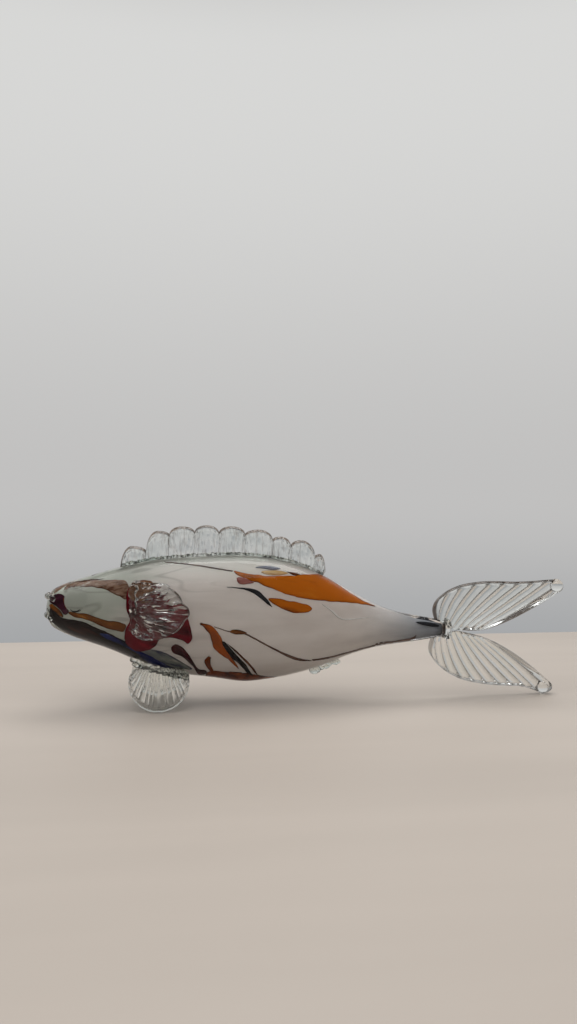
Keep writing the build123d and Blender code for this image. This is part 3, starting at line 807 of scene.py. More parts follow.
# %% Wrap the jaw and the belly
BAND_EDGES = {
    "jaw_black": [
        (43.5, 608), (50, 609), (56, 612), (60, 616.5), (66, 618.5), (76, 620), (86, 622.5), (96, 627.5),
        (104, 630.5), (112, 634.5), (122, 640), (130, 644.5), (140, 652), (150, 661), (158, 669),
    ],
    "belly_brown": [
        (206, 672.5), (213, 671), (222, 671.5), (232, 672), (245, 672.8), (255, 674.5), (266, 676.5),
        (278, 677.3),
    ],
}

wrapped_band("jaw_black", BAND_EDGES, "jaw_glass", "jaw_black_band")
wrapped_band("belly_brown", BAND_EDGES, "slanted_brown", "belly_brown_patch")

# %% [markdown]
# ## The outlines of the near chips
# Each row of these tables is one chip: the points of its upper edge and of its lower edge, as
# pixels of the photograph, from tip to tip. A smooth course through the points gives the outline.
# The chips are then laid in order, and one that lies over another is lifted by over. Two rows
# are laid the same way but are painted light: a dark crescent of painted shade under the eye, and
# a thin brown painted reflection along the underside of the belly.

# %% Read the outlines of the back and the flank
BACK_EDGES = {
    "back_amber": (
        [
            (231, 570.3), (245, 573), (262, 575.5), (280, 576), (300, 575), (312, 574), (322, 574.6),
            (332, 579.5), (340, 585.5), (350, 592.5), (362, 600), (376, 606.5),
        ],
        [
            (231, 570.3), (243, 577.5), (256, 582), (268, 587), (280, 591.5), (292, 596), (306, 599),
            (322, 600.8), (345, 602.3), (362, 604.2), (376, 606.5),
        ],
    ),
    "back_honey": (
        [(259, 571.5), (270, 570.3), (281, 571), (289, 573.5)],
        [(259, 571.5), (268, 574.5), (279, 575), (289, 573.5)],
    ),
    "back_brown": (
        [(287, 571.8), (294, 572.6), (301, 575)],
        [(287, 571.8), (294, 575), (301, 575)],
    ),
    "back_blue": (
        [(253, 567.3), (262, 566), (273, 566.3), (281.5, 568.5)],
        [(253, 567.3), (264, 568.6), (274, 569.8), (281.5, 568.5)],
    ),
    "back_thread": (
        [(164, 561.6), (182, 563.0), (200, 565.2), (215, 567.6), (233, 570.6)],
        [(164, 561.9), (182, 563.9), (200, 566.3), (215, 568.8), (233, 571.6)],
    ),
    "side_red": (
        [(236, 577.5), (240, 577), (247, 578.8), (255, 582.5)],
        [(236, 577.5), (238, 582.7), (242, 584.5), (248, 584), (255, 582.5)],
    ),
    "side_dark": (
        [(224, 586.6), (240, 587.6), (250, 588.3), (258, 590.5), (264, 596), (268.5, 601), (273, 608)],
        [(224, 586.6), (240, 588.8), (250, 591.5), (257, 595.5), (263, 600.5), (268, 604.5), (273, 608)],
    ),
    "side_amber": (
        [(266, 598.6), (275, 598), (285, 600), (297, 602.3), (307, 604.5), (313, 608.5)],
        [(266, 598.6), (273, 603.5), (281, 608), (291, 612), (301, 613), (309, 611.8), (313, 608.5)],
    ),
    "flank_thread": (
        [
            (214, 626.5), (229, 631), (243, 632.4), (256, 638.4), (268, 645), (280, 651), (290, 655.2),
            (300, 658.6), (312, 660.8),
        ],
        [
            (214, 627.1), (229, 632), (243, 634), (256, 640.2), (268, 646.8), (280, 653), (290, 658),
            (300, 660.9), (312, 661.2),
        ],
    ),
    "flank_honey": (
        [(228, 631.6), (234, 629.8), (242, 630.4), (248, 633.4)],
        [(228, 631.6), (234, 634.2), (241, 634.8), (248, 633.4)],
    ),
    # Painted reflection: a thin brown edge along the underside of the casing, as a brown table shows in it.
    "belly_edge_painted_reflection": (
        [(312, 659.7), (325, 657.7), (340, 654.2), (360, 648.6), (380, 643.7), (400, 640), (424, 636.6)],
        [
            (312, 661.1), (325, 659.3), (340, 655.8), (360, 650.2), (380, 645.3), (400, 641.8),
            (412, 640), (424, 636.6),
        ],
    ),
    "pale_thread": (
        [(322, 603.4), (332, 610), (339, 616.4), (345, 618.8), (356, 618.2), (372, 616.8)],
        [(322, 604.4), (331, 611.3), (338, 617.9), (345, 620.1), (356, 619.3), (372, 617.3)],
    ),
}
print("outlines:", len(BACK_EDGES))

# %% Lay the chips of the back and the flank
laid_chip("back_amber", BACK_EDGES, "amber_glass", node="back_amber_patch")
laid_chip("back_honey", BACK_EDGES, "honey_glass", node="back_honey_sliver", grain=0.8, rim_width=0.2)
laid_chip("back_brown", BACK_EDGES, "brown_glass", grain=0.7)
laid_chip("back_blue", BACK_EDGES, "blue_grey_glass", node="back_blue_streak", grain=0.8, rim_width=0.2)
laid_chip(
    "back_thread", BACK_EDGES, "thread_glass",
    node="back_dark_thread", grain=0.7, rim_width=0.2,
)
laid_chip("side_red", BACK_EDGES, "mottled_red", node="side_red_chip", grain=0.9)
laid_chip("side_dark", BACK_EDGES, "smoke_glass", node="side_dark_streak", grain=0.9)
laid_chip("side_amber", BACK_EDGES, "amber_glass", node="side_amber_patch")
laid_chip("flank_thread", BACK_EDGES, "thread_glass", node="flank_brown_thread", grain=0.9)
laid_chip("flank_honey", BACK_EDGES, "olive_amber", grain=0.8)
# Painted reflection of a brown table along the belly's underside, laid as a thread on the lining.
laid_chip("belly_edge_painted_reflection", BACK_EDGES, "thread_glass", grain=0.9)
laid_chip("pale_thread", BACK_EDGES, "pale_glass", grain=0.7, rim_width=0.1)

# %% Read the outlines of the belly
BELLY_EDGES = {
    "belly_amber": (
        [
            (197, 621.8), (205, 623.5), (211, 626), (217, 630.5), (221, 637.5), (223.5, 644),
            (229, 652.5), (234, 660), (239.5, 669.5),
        ],
        [
            (197, 621.8), (204, 627.5), (209, 633), (211.5, 641), (214, 648), (220, 654), (228, 659),
            (233.5, 664.5), (239.5, 669.5),
        ],
    ),
    "belly_black": (
        [(220.5, 640), (226, 643), (232, 650), (238, 656.5), (245, 664), (250, 671.5), (254, 676.5)],
        [(220.5, 640), (223, 647), (229, 654.5), (234, 659.5), (241, 665.5), (247, 672.5), (254, 676.5)],
    ),
    "belly_brown_line": (
        [(227, 643.4), (234, 648.6), (242, 656), (249.5, 663.4), (256, 671.5), (257.5, 676)],
        [(227, 643.4), (233, 649.8), (241, 657.6), (248.5, 665.2), (254.5, 672.5), (257.5, 676)],
    ),
    "belly_hook": (
        [(211, 655), (206, 658.5), (204, 662), (206.5, 667), (210.5, 671.5), (216, 674)],
        [(211, 655), (210.5, 661), (211, 666), (213.5, 670.5), (216, 674)],
    ),
    "throat_maroon": (
        [
            (171.5, 644), (178, 644.5), (184, 649), (190, 656.5), (195, 665), (199, 669.5), (206, 670.5),
            (207, 674),
        ],
        [
            (171.5, 644), (171.3, 649), (174, 653.5), (181, 655.5), (187, 660.5), (194, 667.5),
            (199, 675), (207, 674),
        ],
    ),
}
print("outlines:", len(BELLY_EDGES))

# %% Lay the chips of the belly
laid_chip("belly_amber", BELLY_EDGES, "slanted_amber", node="belly_amber_band", over=0.2)
laid_chip("belly_black", BELLY_EDGES, "black_glass", node="belly_black_streak", over=0.4)
laid_chip("belly_brown_line", BELLY_EDGES, "brown_glass", grain=0.9)
laid_chip("belly_hook", BELLY_EDGES, "slanted_brown", node="belly_amber_hook")
laid_chip("throat_maroon", BELLY_EDGES, "maroon_glass", node="throat_maroon_streak", over=0.3)

# %% Read the outlines of the head
HEAD_EDGES = {
    "jaw_blue": (
        [
            (97, 632.3), (108, 634), (118, 638), (128, 643), (134, 648.5), (150, 654), (160, 660),
            (170, 666), (178, 669.5),
        ],
        [
            (97, 632.3), (104, 637), (114, 642), (124, 646), (134, 651.5), (142, 658), (150, 664),
            (162, 668.5), (178, 669.5),
        ],
    ),
    "throat_streaks": (
        [(136, 649), (150, 649.5), (163, 652), (177, 659.5), (193, 669.5)],
        [(136, 649), (150, 656), (162, 662.5), (176, 668), (193, 669.5)],
    ),
    "jaw_amber": (
        [(66, 611), (76, 612.5), (88, 614.3), (98, 617.7), (108, 620.7), (118, 621.8), (127, 625)],
        [
            (66, 611), (72, 616), (82, 618.7), (92, 621.3), (98, 624.7), (108, 628.7), (118, 631.2),
            (124, 632), (127, 625),
        ],
    ),
    "cheek_red": (
        [
            (126, 600), (128, 590), (134, 583), (143, 580.5), (152, 582), (157, 590), (163, 598),
            (172, 605), (182, 610), (187, 618), (190.5, 627), (193, 638),
        ],
        [
            (126, 600), (127, 611), (130, 620), (126, 629), (124.5, 638), (129, 646), (138, 651),
            (148, 650), (156, 645), (160, 639), (172, 637.5), (184, 641), (188, 644), (193, 638),
        ],
    ),
    "cheek_amber": (
        [(130, 590), (134, 583.5), (143, 581), (152, 582), (157, 589)],
        [(130, 590), (133, 597), (141, 601), (150, 598), (157, 589)],
    ),
    "brow_streaks": (
        [(58, 586.8), (72, 582.7), (88, 580.8), (104, 580.5), (118, 579.8), (127, 581.5), (130, 590)],
        [
            (58, 586.8), (75, 587), (90, 586.8), (100, 588.3), (110, 591.8), (120, 596.5), (126, 599.5),
            (130, 590),
        ],
    ),
    "mouth_amber": (
        [(45.5, 602), (49, 602.3), (54, 605.6), (59, 609.2), (62, 613.5), (64, 617.5)],
        [(45.5, 602), (47, 606), (51, 608.7), (56, 612.2), (60, 616.2), (64, 617.5)],
    ),
    "mouth_plum": (
        [(49.5, 598), (53, 595), (58, 594), (63, 595), (66, 599), (68, 606), (69, 612)],
        [(49.5, 598), (50.5, 602), (55, 604.8), (59.5, 608.5), (62.5, 613), (66, 615), (69, 612)],
    ),
    "mouth_edge": (
        [(63.2, 597), (65.5, 600), (67, 604.5), (67.8, 611.5)],
        [(63.2, 597), (63.8, 602), (65.2, 607), (67.8, 611.5)],
    ),
    # Painted shade: the dark crescent under the clear eye dome, where the dome bends light away.
    "eye_painted_shade": (
        [(71, 606.8), (73.5, 608.6), (76.5, 609), (79.5, 607.6)],
        [(71, 606.8), (73, 609.8), (76.5, 610.8), (79.5, 607.6)],
    ),
    "brow_line": (
        [(62, 584.2), (74, 581.8), (90, 579.6), (104, 578.6)],
        [(62, 584.2), (74, 583), (90, 581), (104, 578.6)],
    ),
}
print("outlines:", len(HEAD_EDGES))

# %% Lay the chips of the head
laid_chip("jaw_blue", HEAD_EDGES, "cobalt_glass", node="jaw_blue_band", over=0.3)
laid_chip("throat_streaks", HEAD_EDGES, "throat_glass", over=0.45)
laid_chip("jaw_amber", HEAD_EDGES, "olive_amber", node="jaw_amber_band")
laid_chip("cheek_red", HEAD_EDGES, "red_glass", node="cheek_red_patch", over=0.6)
laid_chip("cheek_amber", HEAD_EDGES, "olive_amber", over=1.0)
laid_chip("brow_streaks", HEAD_EDGES, "brow_glass", node="brow_brown_streak")
laid_chip("mouth_amber", HEAD_EDGES, "olive_amber", node="mouth_amber_patch", over=0.3)
laid_chip("mouth_plum", HEAD_EDGES, "plum_glass", node="mouth_plum_patch", over=0.5)
laid_chip("mouth_edge", HEAD_EDGES, "slanted_brown", grain=0.7, over=0.8)
# Painted shade under the eye, laid as a dark sheet on the lining.
laid_chip("eye_painted_shade", HEAD_EDGES, "smoke_glass", grain=0.7)
laid_chip("brow_line", HEAD_EDGES, "thread_glass", grain=0.8)

# %% [markdown]
# ## Pressed fins
# Every fin is a fan of hot crystal: it starts at a root line, ends at a rim and is pinched into
# ribs that run from one to the other. So one function makes the smooth web with a round edge and
# a thick rim, and one Geometry Nodes tree presses the ribs into it. The web carries the data the
# tree needs: how far across the ribs a point is, which face it is on, how far from the root and
# how far from the edge. It also carries a number of painted shade that darkens its outline and
# its valleys, where the glass bends light away.


# %% Shape a smooth web
WEB_ROWS = 90
WEB_WELD = 0.00002
OUTLINE_SHADE_EASE, OUTLINE_SHADE_FADE = 0.3, 0.7
VALLEY_SHADE_SHARE, VALLEY_SHADE_EASE = 0.7, 3
FREE = 100


def web_thickness(edge, web_half, rim_half, rim_width):
    """Half the thickness: rounded at the edge, thick along the rim and thin inside it."""
    rounded = np.sqrt(np.maximum(rim_half**2 - np.maximum(rim_half - edge, 0) ** 2, 0))
    ease = np.clip((edge - rim_half) / (rim_width - rim_half), 0, 1)
    ease = ease * ease * (3 - 2 * ease)
    return rounded * (1 - ease) + web_half * ease


def web_faces(across, along):
    """Both sides of a grid of points, joined along the root."""
    count = across * along
    faces = []
    for i in range(across - 1):
        for j in range(along - 1):
            a, b, c, d = i * along + j, (i + 1) * along + j, (i + 1) * along + j + 1, i * along + j + 1
            faces += [(a, b, c, d), tuple(count + v for v in (d, c, b, a))]
        a, b = i * along, (i + 1) * along
        faces.append((b, a, count + a, count + b))
    return faces


# %% Press a web between its root and its rim
def pressed_web(name, shape, place, thick, phase, ripple=None, painted_shade=(1.0, 3.0, 0.4), free_root=1.0):
    """A closed web. shape is its root, its control points and its rim, as rows of flat points, one
    for each step across, and place turns flat points and a height into room points. thick is half
    the web's thickness, half the rim's and the rim's width. The painted shade settings say how dark
    the painted shade on the outline and in the valleys is, how it fades towards the root and how
    narrow it is. Past free_root the root is an edge too."""
    root, control, rim = shape
    across, along = len(rim), WEB_ROWS
    t = np.sin(np.linspace(0, math.pi / 2, along))[None, :, None]
    flat = (1 - t) ** 2 * root[:, None] + 2 * t * (1 - t) * control[:, None] + t**2 * rim[:, None]
    steps = np.linalg.norm(np.diff(flat, axis=0), axis=2)
    from_first = np.concatenate([np.zeros((1, along)), np.cumsum(steps, axis=0)])
    from_last = from_first[-1] - from_first
    runs = np.linalg.norm(np.diff(flat, axis=1), axis=2)
    none = np.zeros((across, 1))
    to_rim = np.concatenate([np.cumsum(runs[:, ::-1], axis=1)[:, ::-1], none], axis=1)
    from_root = np.concatenate([none, np.cumsum(runs, axis=1)], axis=1)
    buried = np.linspace(0, 1, across)[:, None] <= free_root
    edge = np.minimum(np.minimum(from_first, from_last), np.minimum(to_rim, from_root + FREE * buried))
    half = web_thickness(edge, *thick)
    lift = np.zeros_like(half) if ripple is None else ripple
    front = place(flat, lift + half)
    back = place(flat, lift - half)
    # Painted shade: dark along the rounded outline and in the valleys between ribs, fading towards the root.
    dark, fade, narrow = painted_shade
    valley_shade = 1 - (4 * (phase % 1) * (1 - phase % 1)) ** narrow
    outline = np.clip((thick[1] + OUTLINE_SHADE_EASE - edge) / OUTLINE_SHADE_FADE, 0, 1)
    valleys = VALLEY_SHADE_SHARE * valley_shade[:, None] * np.clip(edge / VALLEY_SHADE_EASE, 0, 1) * t[:, :, 0] ** fade
    data = {
        "painted_shade": np.concatenate([np.maximum(outline, valleys).ravel() * dark] * 2),
        "phase": np.concatenate([np.repeat(phase[:, None], along, axis=1).ravel()] * 2),
        "side": np.concatenate([np.ones(half.size), -np.ones(half.size)]),
        "edge": np.concatenate([edge.ravel()] * 2),
        "reach": np.tile(np.repeat(t[0, :, 0][None], across, axis=0).ravel(), 2),
    }
    points = np.concatenate([front.reshape(-1, 3), back.reshape(-1, 3)])
    piece = new_piece(name, points, web_faces(across, along), data)
    weld = piece.modifiers.new("weld", "WELD")
    weld.merge_threshold = WEB_WELD
    return piece


# %% Build the tree that presses ribs
RIB_ROUNDNESS = 0.6
RIB_WANDER, WANDER_PITCH, CREASE_BEND = 60, 3.7, 0.4


def rib_press():
    """Geometry Nodes that push a web's two faces out into ribs with sharp valleys between them."""
    tree = bpy.data.node_groups.new("press_ribs", "GeometryNodeTree")
    face = tree.interface
    face.new_socket("Web", in_out="INPUT", socket_type="NodeSocketGeometry")
    for label in ("Rib Height", "Crease Height", "Creases", "Fade", "Unevenness"):
        face.new_socket(label, in_out="INPUT", socket_type="NodeSocketFloat")
    face.new_socket("Direction", in_out="INPUT", socket_type="NodeSocketVector")
    face.new_socket("Glass", in_out="INPUT", socket_type="NodeSocketMaterial")
    face.new_socket("Fin", in_out="OUTPUT", socket_type="NodeSocketGeometry")
    start = tree.nodes.new("NodeGroupInput")
    given = {socket.name: Wire(tree, socket) for socket in start.outputs if socket.name}

    def reading(label):
        node = tree.nodes.new("GeometryNodeInputNamedAttribute")
        node.data_type = "FLOAT"
        node.inputs["Name"].default_value = label
        return Wire(tree, node.outputs["Attribute"])

    def ridge(phase):
        share = phase.math("FRACT")
        return (share * (share * -1 + 1) * 4).math("MAXIMUM", 0.0) ** RIB_ROUNDNESS

    phase = reading("phase")
    wander = tree.nodes.new("ShaderNodeTexNoise")
    wander.noise_dimensions = "4D"
    plug(tree, phase.math("FLOOR") * WANDER_PITCH, wander.inputs["W"])
    wander.inputs["Scale"].default_value = RIB_WANDER
    uneven = Wire(tree, wander.outputs["Fac"]) - 0.5
    bent = phase + uneven * given["Unevenness"] * CREASE_BEND * reading("reach")
    clear = (reading("edge") * (given["Fade"] ** -1)).math("MINIMUM", 1.0)
    main = ridge(phase) * (uneven * given["Unevenness"] + 1) * given["Rib Height"]
    fine = ridge(bent * given["Creases"]) * given["Crease Height"]
    push = (main + fine) * clear * reading("side")
    scaled = tree.nodes.new("ShaderNodeVectorMath")
    scaled.operation = "SCALE"
    plug(tree, given["Direction"], scaled.inputs[0])
    plug(tree, push, scaled.inputs["Scale"])
    moved = tree.nodes.new("GeometryNodeSetPosition")
    plug(tree, given["Web"], moved.inputs["Geometry"])
    tree.links.new(scaled.outputs[0], moved.inputs["Offset"])
    real = tree.nodes.new("GeometryNodeRealizeInstances")
    tree.links.new(moved.outputs[0], real.inputs[0])
    glazed = tree.nodes.new("GeometryNodeSetMaterial")
    tree.links.new(real.outputs[0], glazed.inputs["Geometry"])
    plug(tree, given["Glass"], glazed.inputs["Material"])
    end = tree.nodes.new("NodeGroupOutput")
    tree.links.new(glazed.outputs[0], end.inputs[0])
    return tree


def socket_names(tree):
    """The identifier of each named input of a tree."""
    sockets = (item for item in tree.interface.items_tree if item.item_type == "SOCKET")
    return {socket.name: socket.identifier for socket in sockets if socket.in_out == "INPUT"}


RIB_PRESS = rib_press()
RIB_INPUTS = socket_names(RIB_PRESS)
print("press_ribs inputs:", list(RIB_INPUTS))


# %% Press ribs into a web
def press(web, direction, height, crease, creases, fade, uneven):
    """Presses ribs into a web. Lengths are in millimetres."""
    modifier = web.modifiers.new("ribs", "NODES")
    modifier.node_group = RIB_PRESS
    modifier[RIB_INPUTS["Rib Height"]] = height * MM
    modifier[RIB_INPUTS["Crease Height"]] = crease * MM
    modifier[RIB_INPUTS["Creases"]] = float(creases)
    modifier[RIB_INPUTS["Fade"]] = float(fade)
    modifier[RIB_INPUTS["Unevenness"]] = float(uneven)
    modifier[RIB_INPUTS["Direction"]] = tuple(direction)
    modifier[RIB_INPUTS["Glass"]] = fin_crystal
    return applied(web)


# %% Make a drop, and finish a piece
def drop(name, middle, radii):
    """A rounded lump of glass."""
    rows, around = 24, 32
    turns = np.linspace(0, 2 * math.pi, around, endpoint=False)
    tilts = np.linspace(0, math.pi, rows + 2)[1:-1]
    ring = np.stack([np.zeros(around), np.sin(turns), np.cos(turns)], axis=1)
    rings = np.array([[-math.cos(tilt), 0, 0] + ring * math.sin(tilt) for tilt in tilts])
    rings = rings * np.array(radii) + np.array(middle)
    ends = (np.array(middle) - [radii[0], 0, 0], np.array(middle) + [radii[0], 0, 0])
    return blown(name, rings, ends)


def shifted(piece, place):
    """Moves a piece's mesh, so that the object itself stays at the origin."""
    for vertex in piece.data.vertices:
        vertex.co += Vector(place) * MM


def finished(piece, finish, slot_name, *nodes):
    """Gives a made piece its finish and its place in the frame."""
    piece.data.materials.clear()
    piece.data.materials.append(finish)
    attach(piece, "root")
    if nodes:
        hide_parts(*nodes)
    print(piece.name, len(piece.data.polygons), "faces")
    return piece


# %% [markdown]
# ## Seams
# Where hot crystal is stuck on cooler glass, the joint stays lumpy and full of small bubbles, and
# it looks dark and greenish. A row of random beads along the joint, melted into one cord, gives
# that. The beads follow a path, so Geometry Nodes place them.


# %% Build the tree that strews beads along a seam
def bead_seam():
    """Geometry Nodes that put beads of random sizes along a path, a little off it."""
    tree = bpy.data.node_groups.new("bead_seam", "GeometryNodeTree")
    face = tree.interface
    face.new_socket("Path", in_out="INPUT", socket_type="NodeSocketGeometry")
    for label in ("Spacing", "Least Radius", "Most Radius"):
        face.new_socket(label, in_out="INPUT", socket_type="NodeSocketFloat")
    face.new_socket("Scatter", in_out="INPUT", socket_type="NodeSocketVector")
    face.new_socket("Seed", in_out="INPUT", socket_type="NodeSocketInt")
    face.new_socket("Glass", in_out="INPUT", socket_type="NodeSocketMaterial")
    face.new_socket("Beads", in_out="OUTPUT", socket_type="NodeSocketGeometry")
    start = tree.nodes.new("NodeGroupInput")
    given = {socket.name: Wire(tree, socket) for socket in start.outputs if socket.name}
    curve = add_node(tree, "GeometryNodeMeshToCurve", Mesh=given["Path"])
    spaced = tree.nodes.new("GeometryNodeResampleCurve")
    spaced.mode = "LENGTH"
    tree.links.new(curve.outputs[0], spaced.inputs["Curve"])
    plug(tree, given["Spacing"], spaced.inputs["Length"])
    size = tree.nodes.new("FunctionNodeRandomValue")
    plug(tree, given["Least Radius"], size.inputs[2])
    plug(tree, given["Most Radius"], size.inputs[3])
    plug(tree, given["Seed"], size.inputs["Seed"])
    off = tree.nodes.new("FunctionNodeRandomValue")
    off.data_type = "FLOAT_VECTOR"
    plug(tree, given["Scatter"], off.inputs[1])
    back = add_node(tree, "ShaderNodeVectorMath")
    back.operation = "SCALE"
    plug(tree, given["Scatter"], back.inputs[0])
    back.inputs["Scale"].default_value = -1.0
    tree.links.new(back.outputs[0], off.inputs[0])
    plug(tree, given["Seed"] + 1, off.inputs["Seed"])
    moved = tree.nodes.new("GeometryNodeSetPosition")
    tree.links.new(spaced.outputs[0], moved.inputs["Geometry"])
    tree.links.new(off.outputs[0], moved.inputs["Offset"])
    bead = tree.nodes.new("GeometryNodeMeshIcoSphere")
    bead.inputs["Radius"].default_value = 1.0
    bead.inputs["Subdivisions"].default_value = 2
    strewn = tree.nodes.new("GeometryNodeInstanceOnPoints")
    tree.links.new(moved.outputs[0], strewn.inputs["Points"])
    tree.links.new(bead.outputs["Mesh"], strewn.inputs["Instance"])
    tree.links.new(size.outputs[1], strewn.inputs["Scale"])
    real = tree.nodes.new("GeometryNodeRealizeInstances")
    tree.links.new(strewn.outputs[0], real.inputs[0])
    glazed = tree.nodes.new("GeometryNodeSetMaterial")
    tree.links.new(real.outputs[0], glazed.inputs["Geometry"])
    plug(tree, given["Glass"], glazed.inputs["Material"])
    end = tree.nodes.new("NodeGroupOutput")
    tree.links.new(glazed.outputs[0], end.inputs[0])
    return tree


BEAD_SEAM = bead_seam()
BEAD_INPUTS = socket_names(BEAD_SEAM)
print("bead_seam inputs:", list(BEAD_INPUTS))


# %% Strew beads
def beads(name, path, spacing, least, most, scatter=(0, 0, 0), seed=1):
    """Loose beads along a path of points, all in millimetres."""
    mesh = bpy.data.meshes.new(name)
    mesh.from_pydata((np.asarray(path) * MM).tolist(), [(i, i + 1) for i in range(len(path) - 1)], [])
    piece = bpy.data.objects.new(name, mesh)
    bpy.context.scene.collection.objects.link(piece)
    modifier = piece.modifiers.new("seam", "NODES")
    modifier.node_group = BEAD_SEAM
    modifier[BEAD_INPUTS["Spacing"]] = spacing * MM
    modifier[BEAD_INPUTS["Least Radius"]] = least * MM
    modifier[BEAD_INPUTS["Most Radius"]] = most * MM
    modifier[BEAD_INPUTS["Scatter"]] = tuple(part * MM for part in scatter)
    modifier[BEAD_INPUTS["Seed"]] = seed
    modifier[BEAD_INPUTS["Glass"]] = gather_crystal
    return applied(piece)


# %% [markdown]
# ## The dorsal fin
# A ribbon of hot crystal is laid along the back and crimped with a jack into nine scallops. Each
# scallop is a rounded cushion with fine upright creases. Its rim is two quarter ellipses, from a
# valley up to the peak and down to the next valley.


# %% Draw the scallops
def crimped_rim(valleys, peaks, steps):
    """Rim points and phases of scallops between the given valleys and peaks."""
    points, phases = [], []
    for petal, (first, peak, last) in enumerate(zip(valleys, peaks, valleys[1:])):
        for share in np.linspace(0, 1, steps, endpoint=False):
            turn = (share % 0.5) * math.pi
            if share < 0.5:
                across = peak[0] - (peak[0] - first[0]) * math.cos(turn)
                up = first[1] + (peak[1] - first[1]) * math.sin(turn)
            else:
                across = peak[0] + (last[0] - peak[0]) * math.sin(turn)
                up = last[1] + (peak[1] - last[1]) * math.cos(turn)
            points.append((across, up))
            phases.append(petal + share)
    points.append(valleys[-1])
    phases.append(len(peaks) - 0.001)
    return np.array(points, float), np.array(phases)


def skin_point(start, direction):
    """Where a ray first meets the outside of the casing."""
    return np.array(skin_tree.ray_cast(Vector(start), Vector(direction))[0])


NOSE = -169.0
DORSAL_VALLEYS = [
    (45.2, 86), (61.5, 98), (76.1, 108.6), (92.2, 110.2), (107.8, 109.6),
    (124.7, 108.6), (142.5, 105), (154.4, 101), (170.4, 94), (177.3, 84),
]
DORSAL_PEAKS = [
    (52.4, 101.4), (68.8, 111), (83.9, 113.8), (99.8, 114.5), (115.6, 113.8),
    (133.3, 111.6), (147.7, 107), (160.9, 104.6), (173.4, 95.6),
]
DORSAL_ROOTS = [47, 60.5, 75.5, 91.5, 107.5, 124, 141.5, 154, 168.5, 175.5]
SCALLOP_STEPS = 28
ROOT_DEPTH, SEAM_RISE = 0.8, 0.2
DORSAL_THICK = (0.8, 1.6, 3.2)
print("scallops:", len(DORSAL_PEAKS))


# %% Crimp the dorsal fin
def dorsal():
    rim, phase = crimped_rim(DORSAL_VALLEYS, DORSAL_PEAKS, SCALLOP_STEPS)
    root_x = np.interp(phase, np.arange(len(DORSAL_ROOTS)), DORSAL_ROOTS)
    tops = np.array([skin_point((NOSE + x, 0, FAR), (0, 0, -1))[2] for x in root_x])
    root = np.stack([root_x, tops - ROOT_DEPTH], axis=1)

    def place(flat, height):
        return np.stack([flat[..., 0] + NOSE, -height, flat[..., 1]], axis=-1)

    shape = (root, (root + rim) / 2, rim)
    web = pressed_web("dorsal_ribbon", shape, place, DORSAL_THICK, phase)
    press(web, (0, -1, 0), height=1.4, crease=1.0, creases=6, fade=2.6, uneven=1.4)
    finished(web, streaked_crystal, "ribbed_crystal", "dorsal_fin")
    seam = np.stack([root_x + NOSE, np.zeros_like(root_x), tops + SEAM_RISE], axis=1)[::4]
    cord = beads("cord", seam, 0.75, 0.8, 1.5, (0.3, 1.8, 0.4), 3)
    finished(melted("dorsal_seam", [cord], 0.35, 2), gather_crystal, "ribbed_crystal")


dorsal()

# %% [markdown]
# ## The pectoral fins
# Each is a gather pressed against the cheek, pulled back and pinched seven times, so it stands off
# the body in wavy petals. The end of the gather is an upright oval lobe.


# %% Size the pectoral fins
PECTORAL_PLACE = (-115.6, 64.3)
PECTORAL_LEAN = math.radians(17)
PECTORAL_RIM = [
    (1, 15.5), (12.7, 16.5), (25, 14), (34.5, 5), (36.5, -5), (30.5, -13), (21, -17.6), (11.5, -19.4),
    (1, -15),
]
PECTORAL_ROOT, ROOT_TOP, ROOT_SPAN = 1.5, 11, 23
PECTORAL_THICK = (0.7, 1.2, 3.0)
PETALS, PETAL_STEPS = 7, 26
PETAL_NOTCH = 0.05
STAND_OFF, CRUMPLE, CRUMPLE_WIDE, CRUMPLE_HIGH, CRUMPLE_EASE = 1.0, 2.2, 6.5, 3.2, 12
PINCH, CURL, CURLS = 1.3, 1.0, 11
WIDEST, WIDEST_GIVE = 31, 0.6
LOBE_RADII, LOBE_PLACE = (4.5, 2.8, 6.4), (4.6, 2.2, 11.0)
GATHER_TOP, GATHER_STEP, GATHER_STEPS = 12, 2.4, 11
GATHER_BACK, GATHER_OFF = 1.6, 0.4
print("pectoral petals:", PETALS)


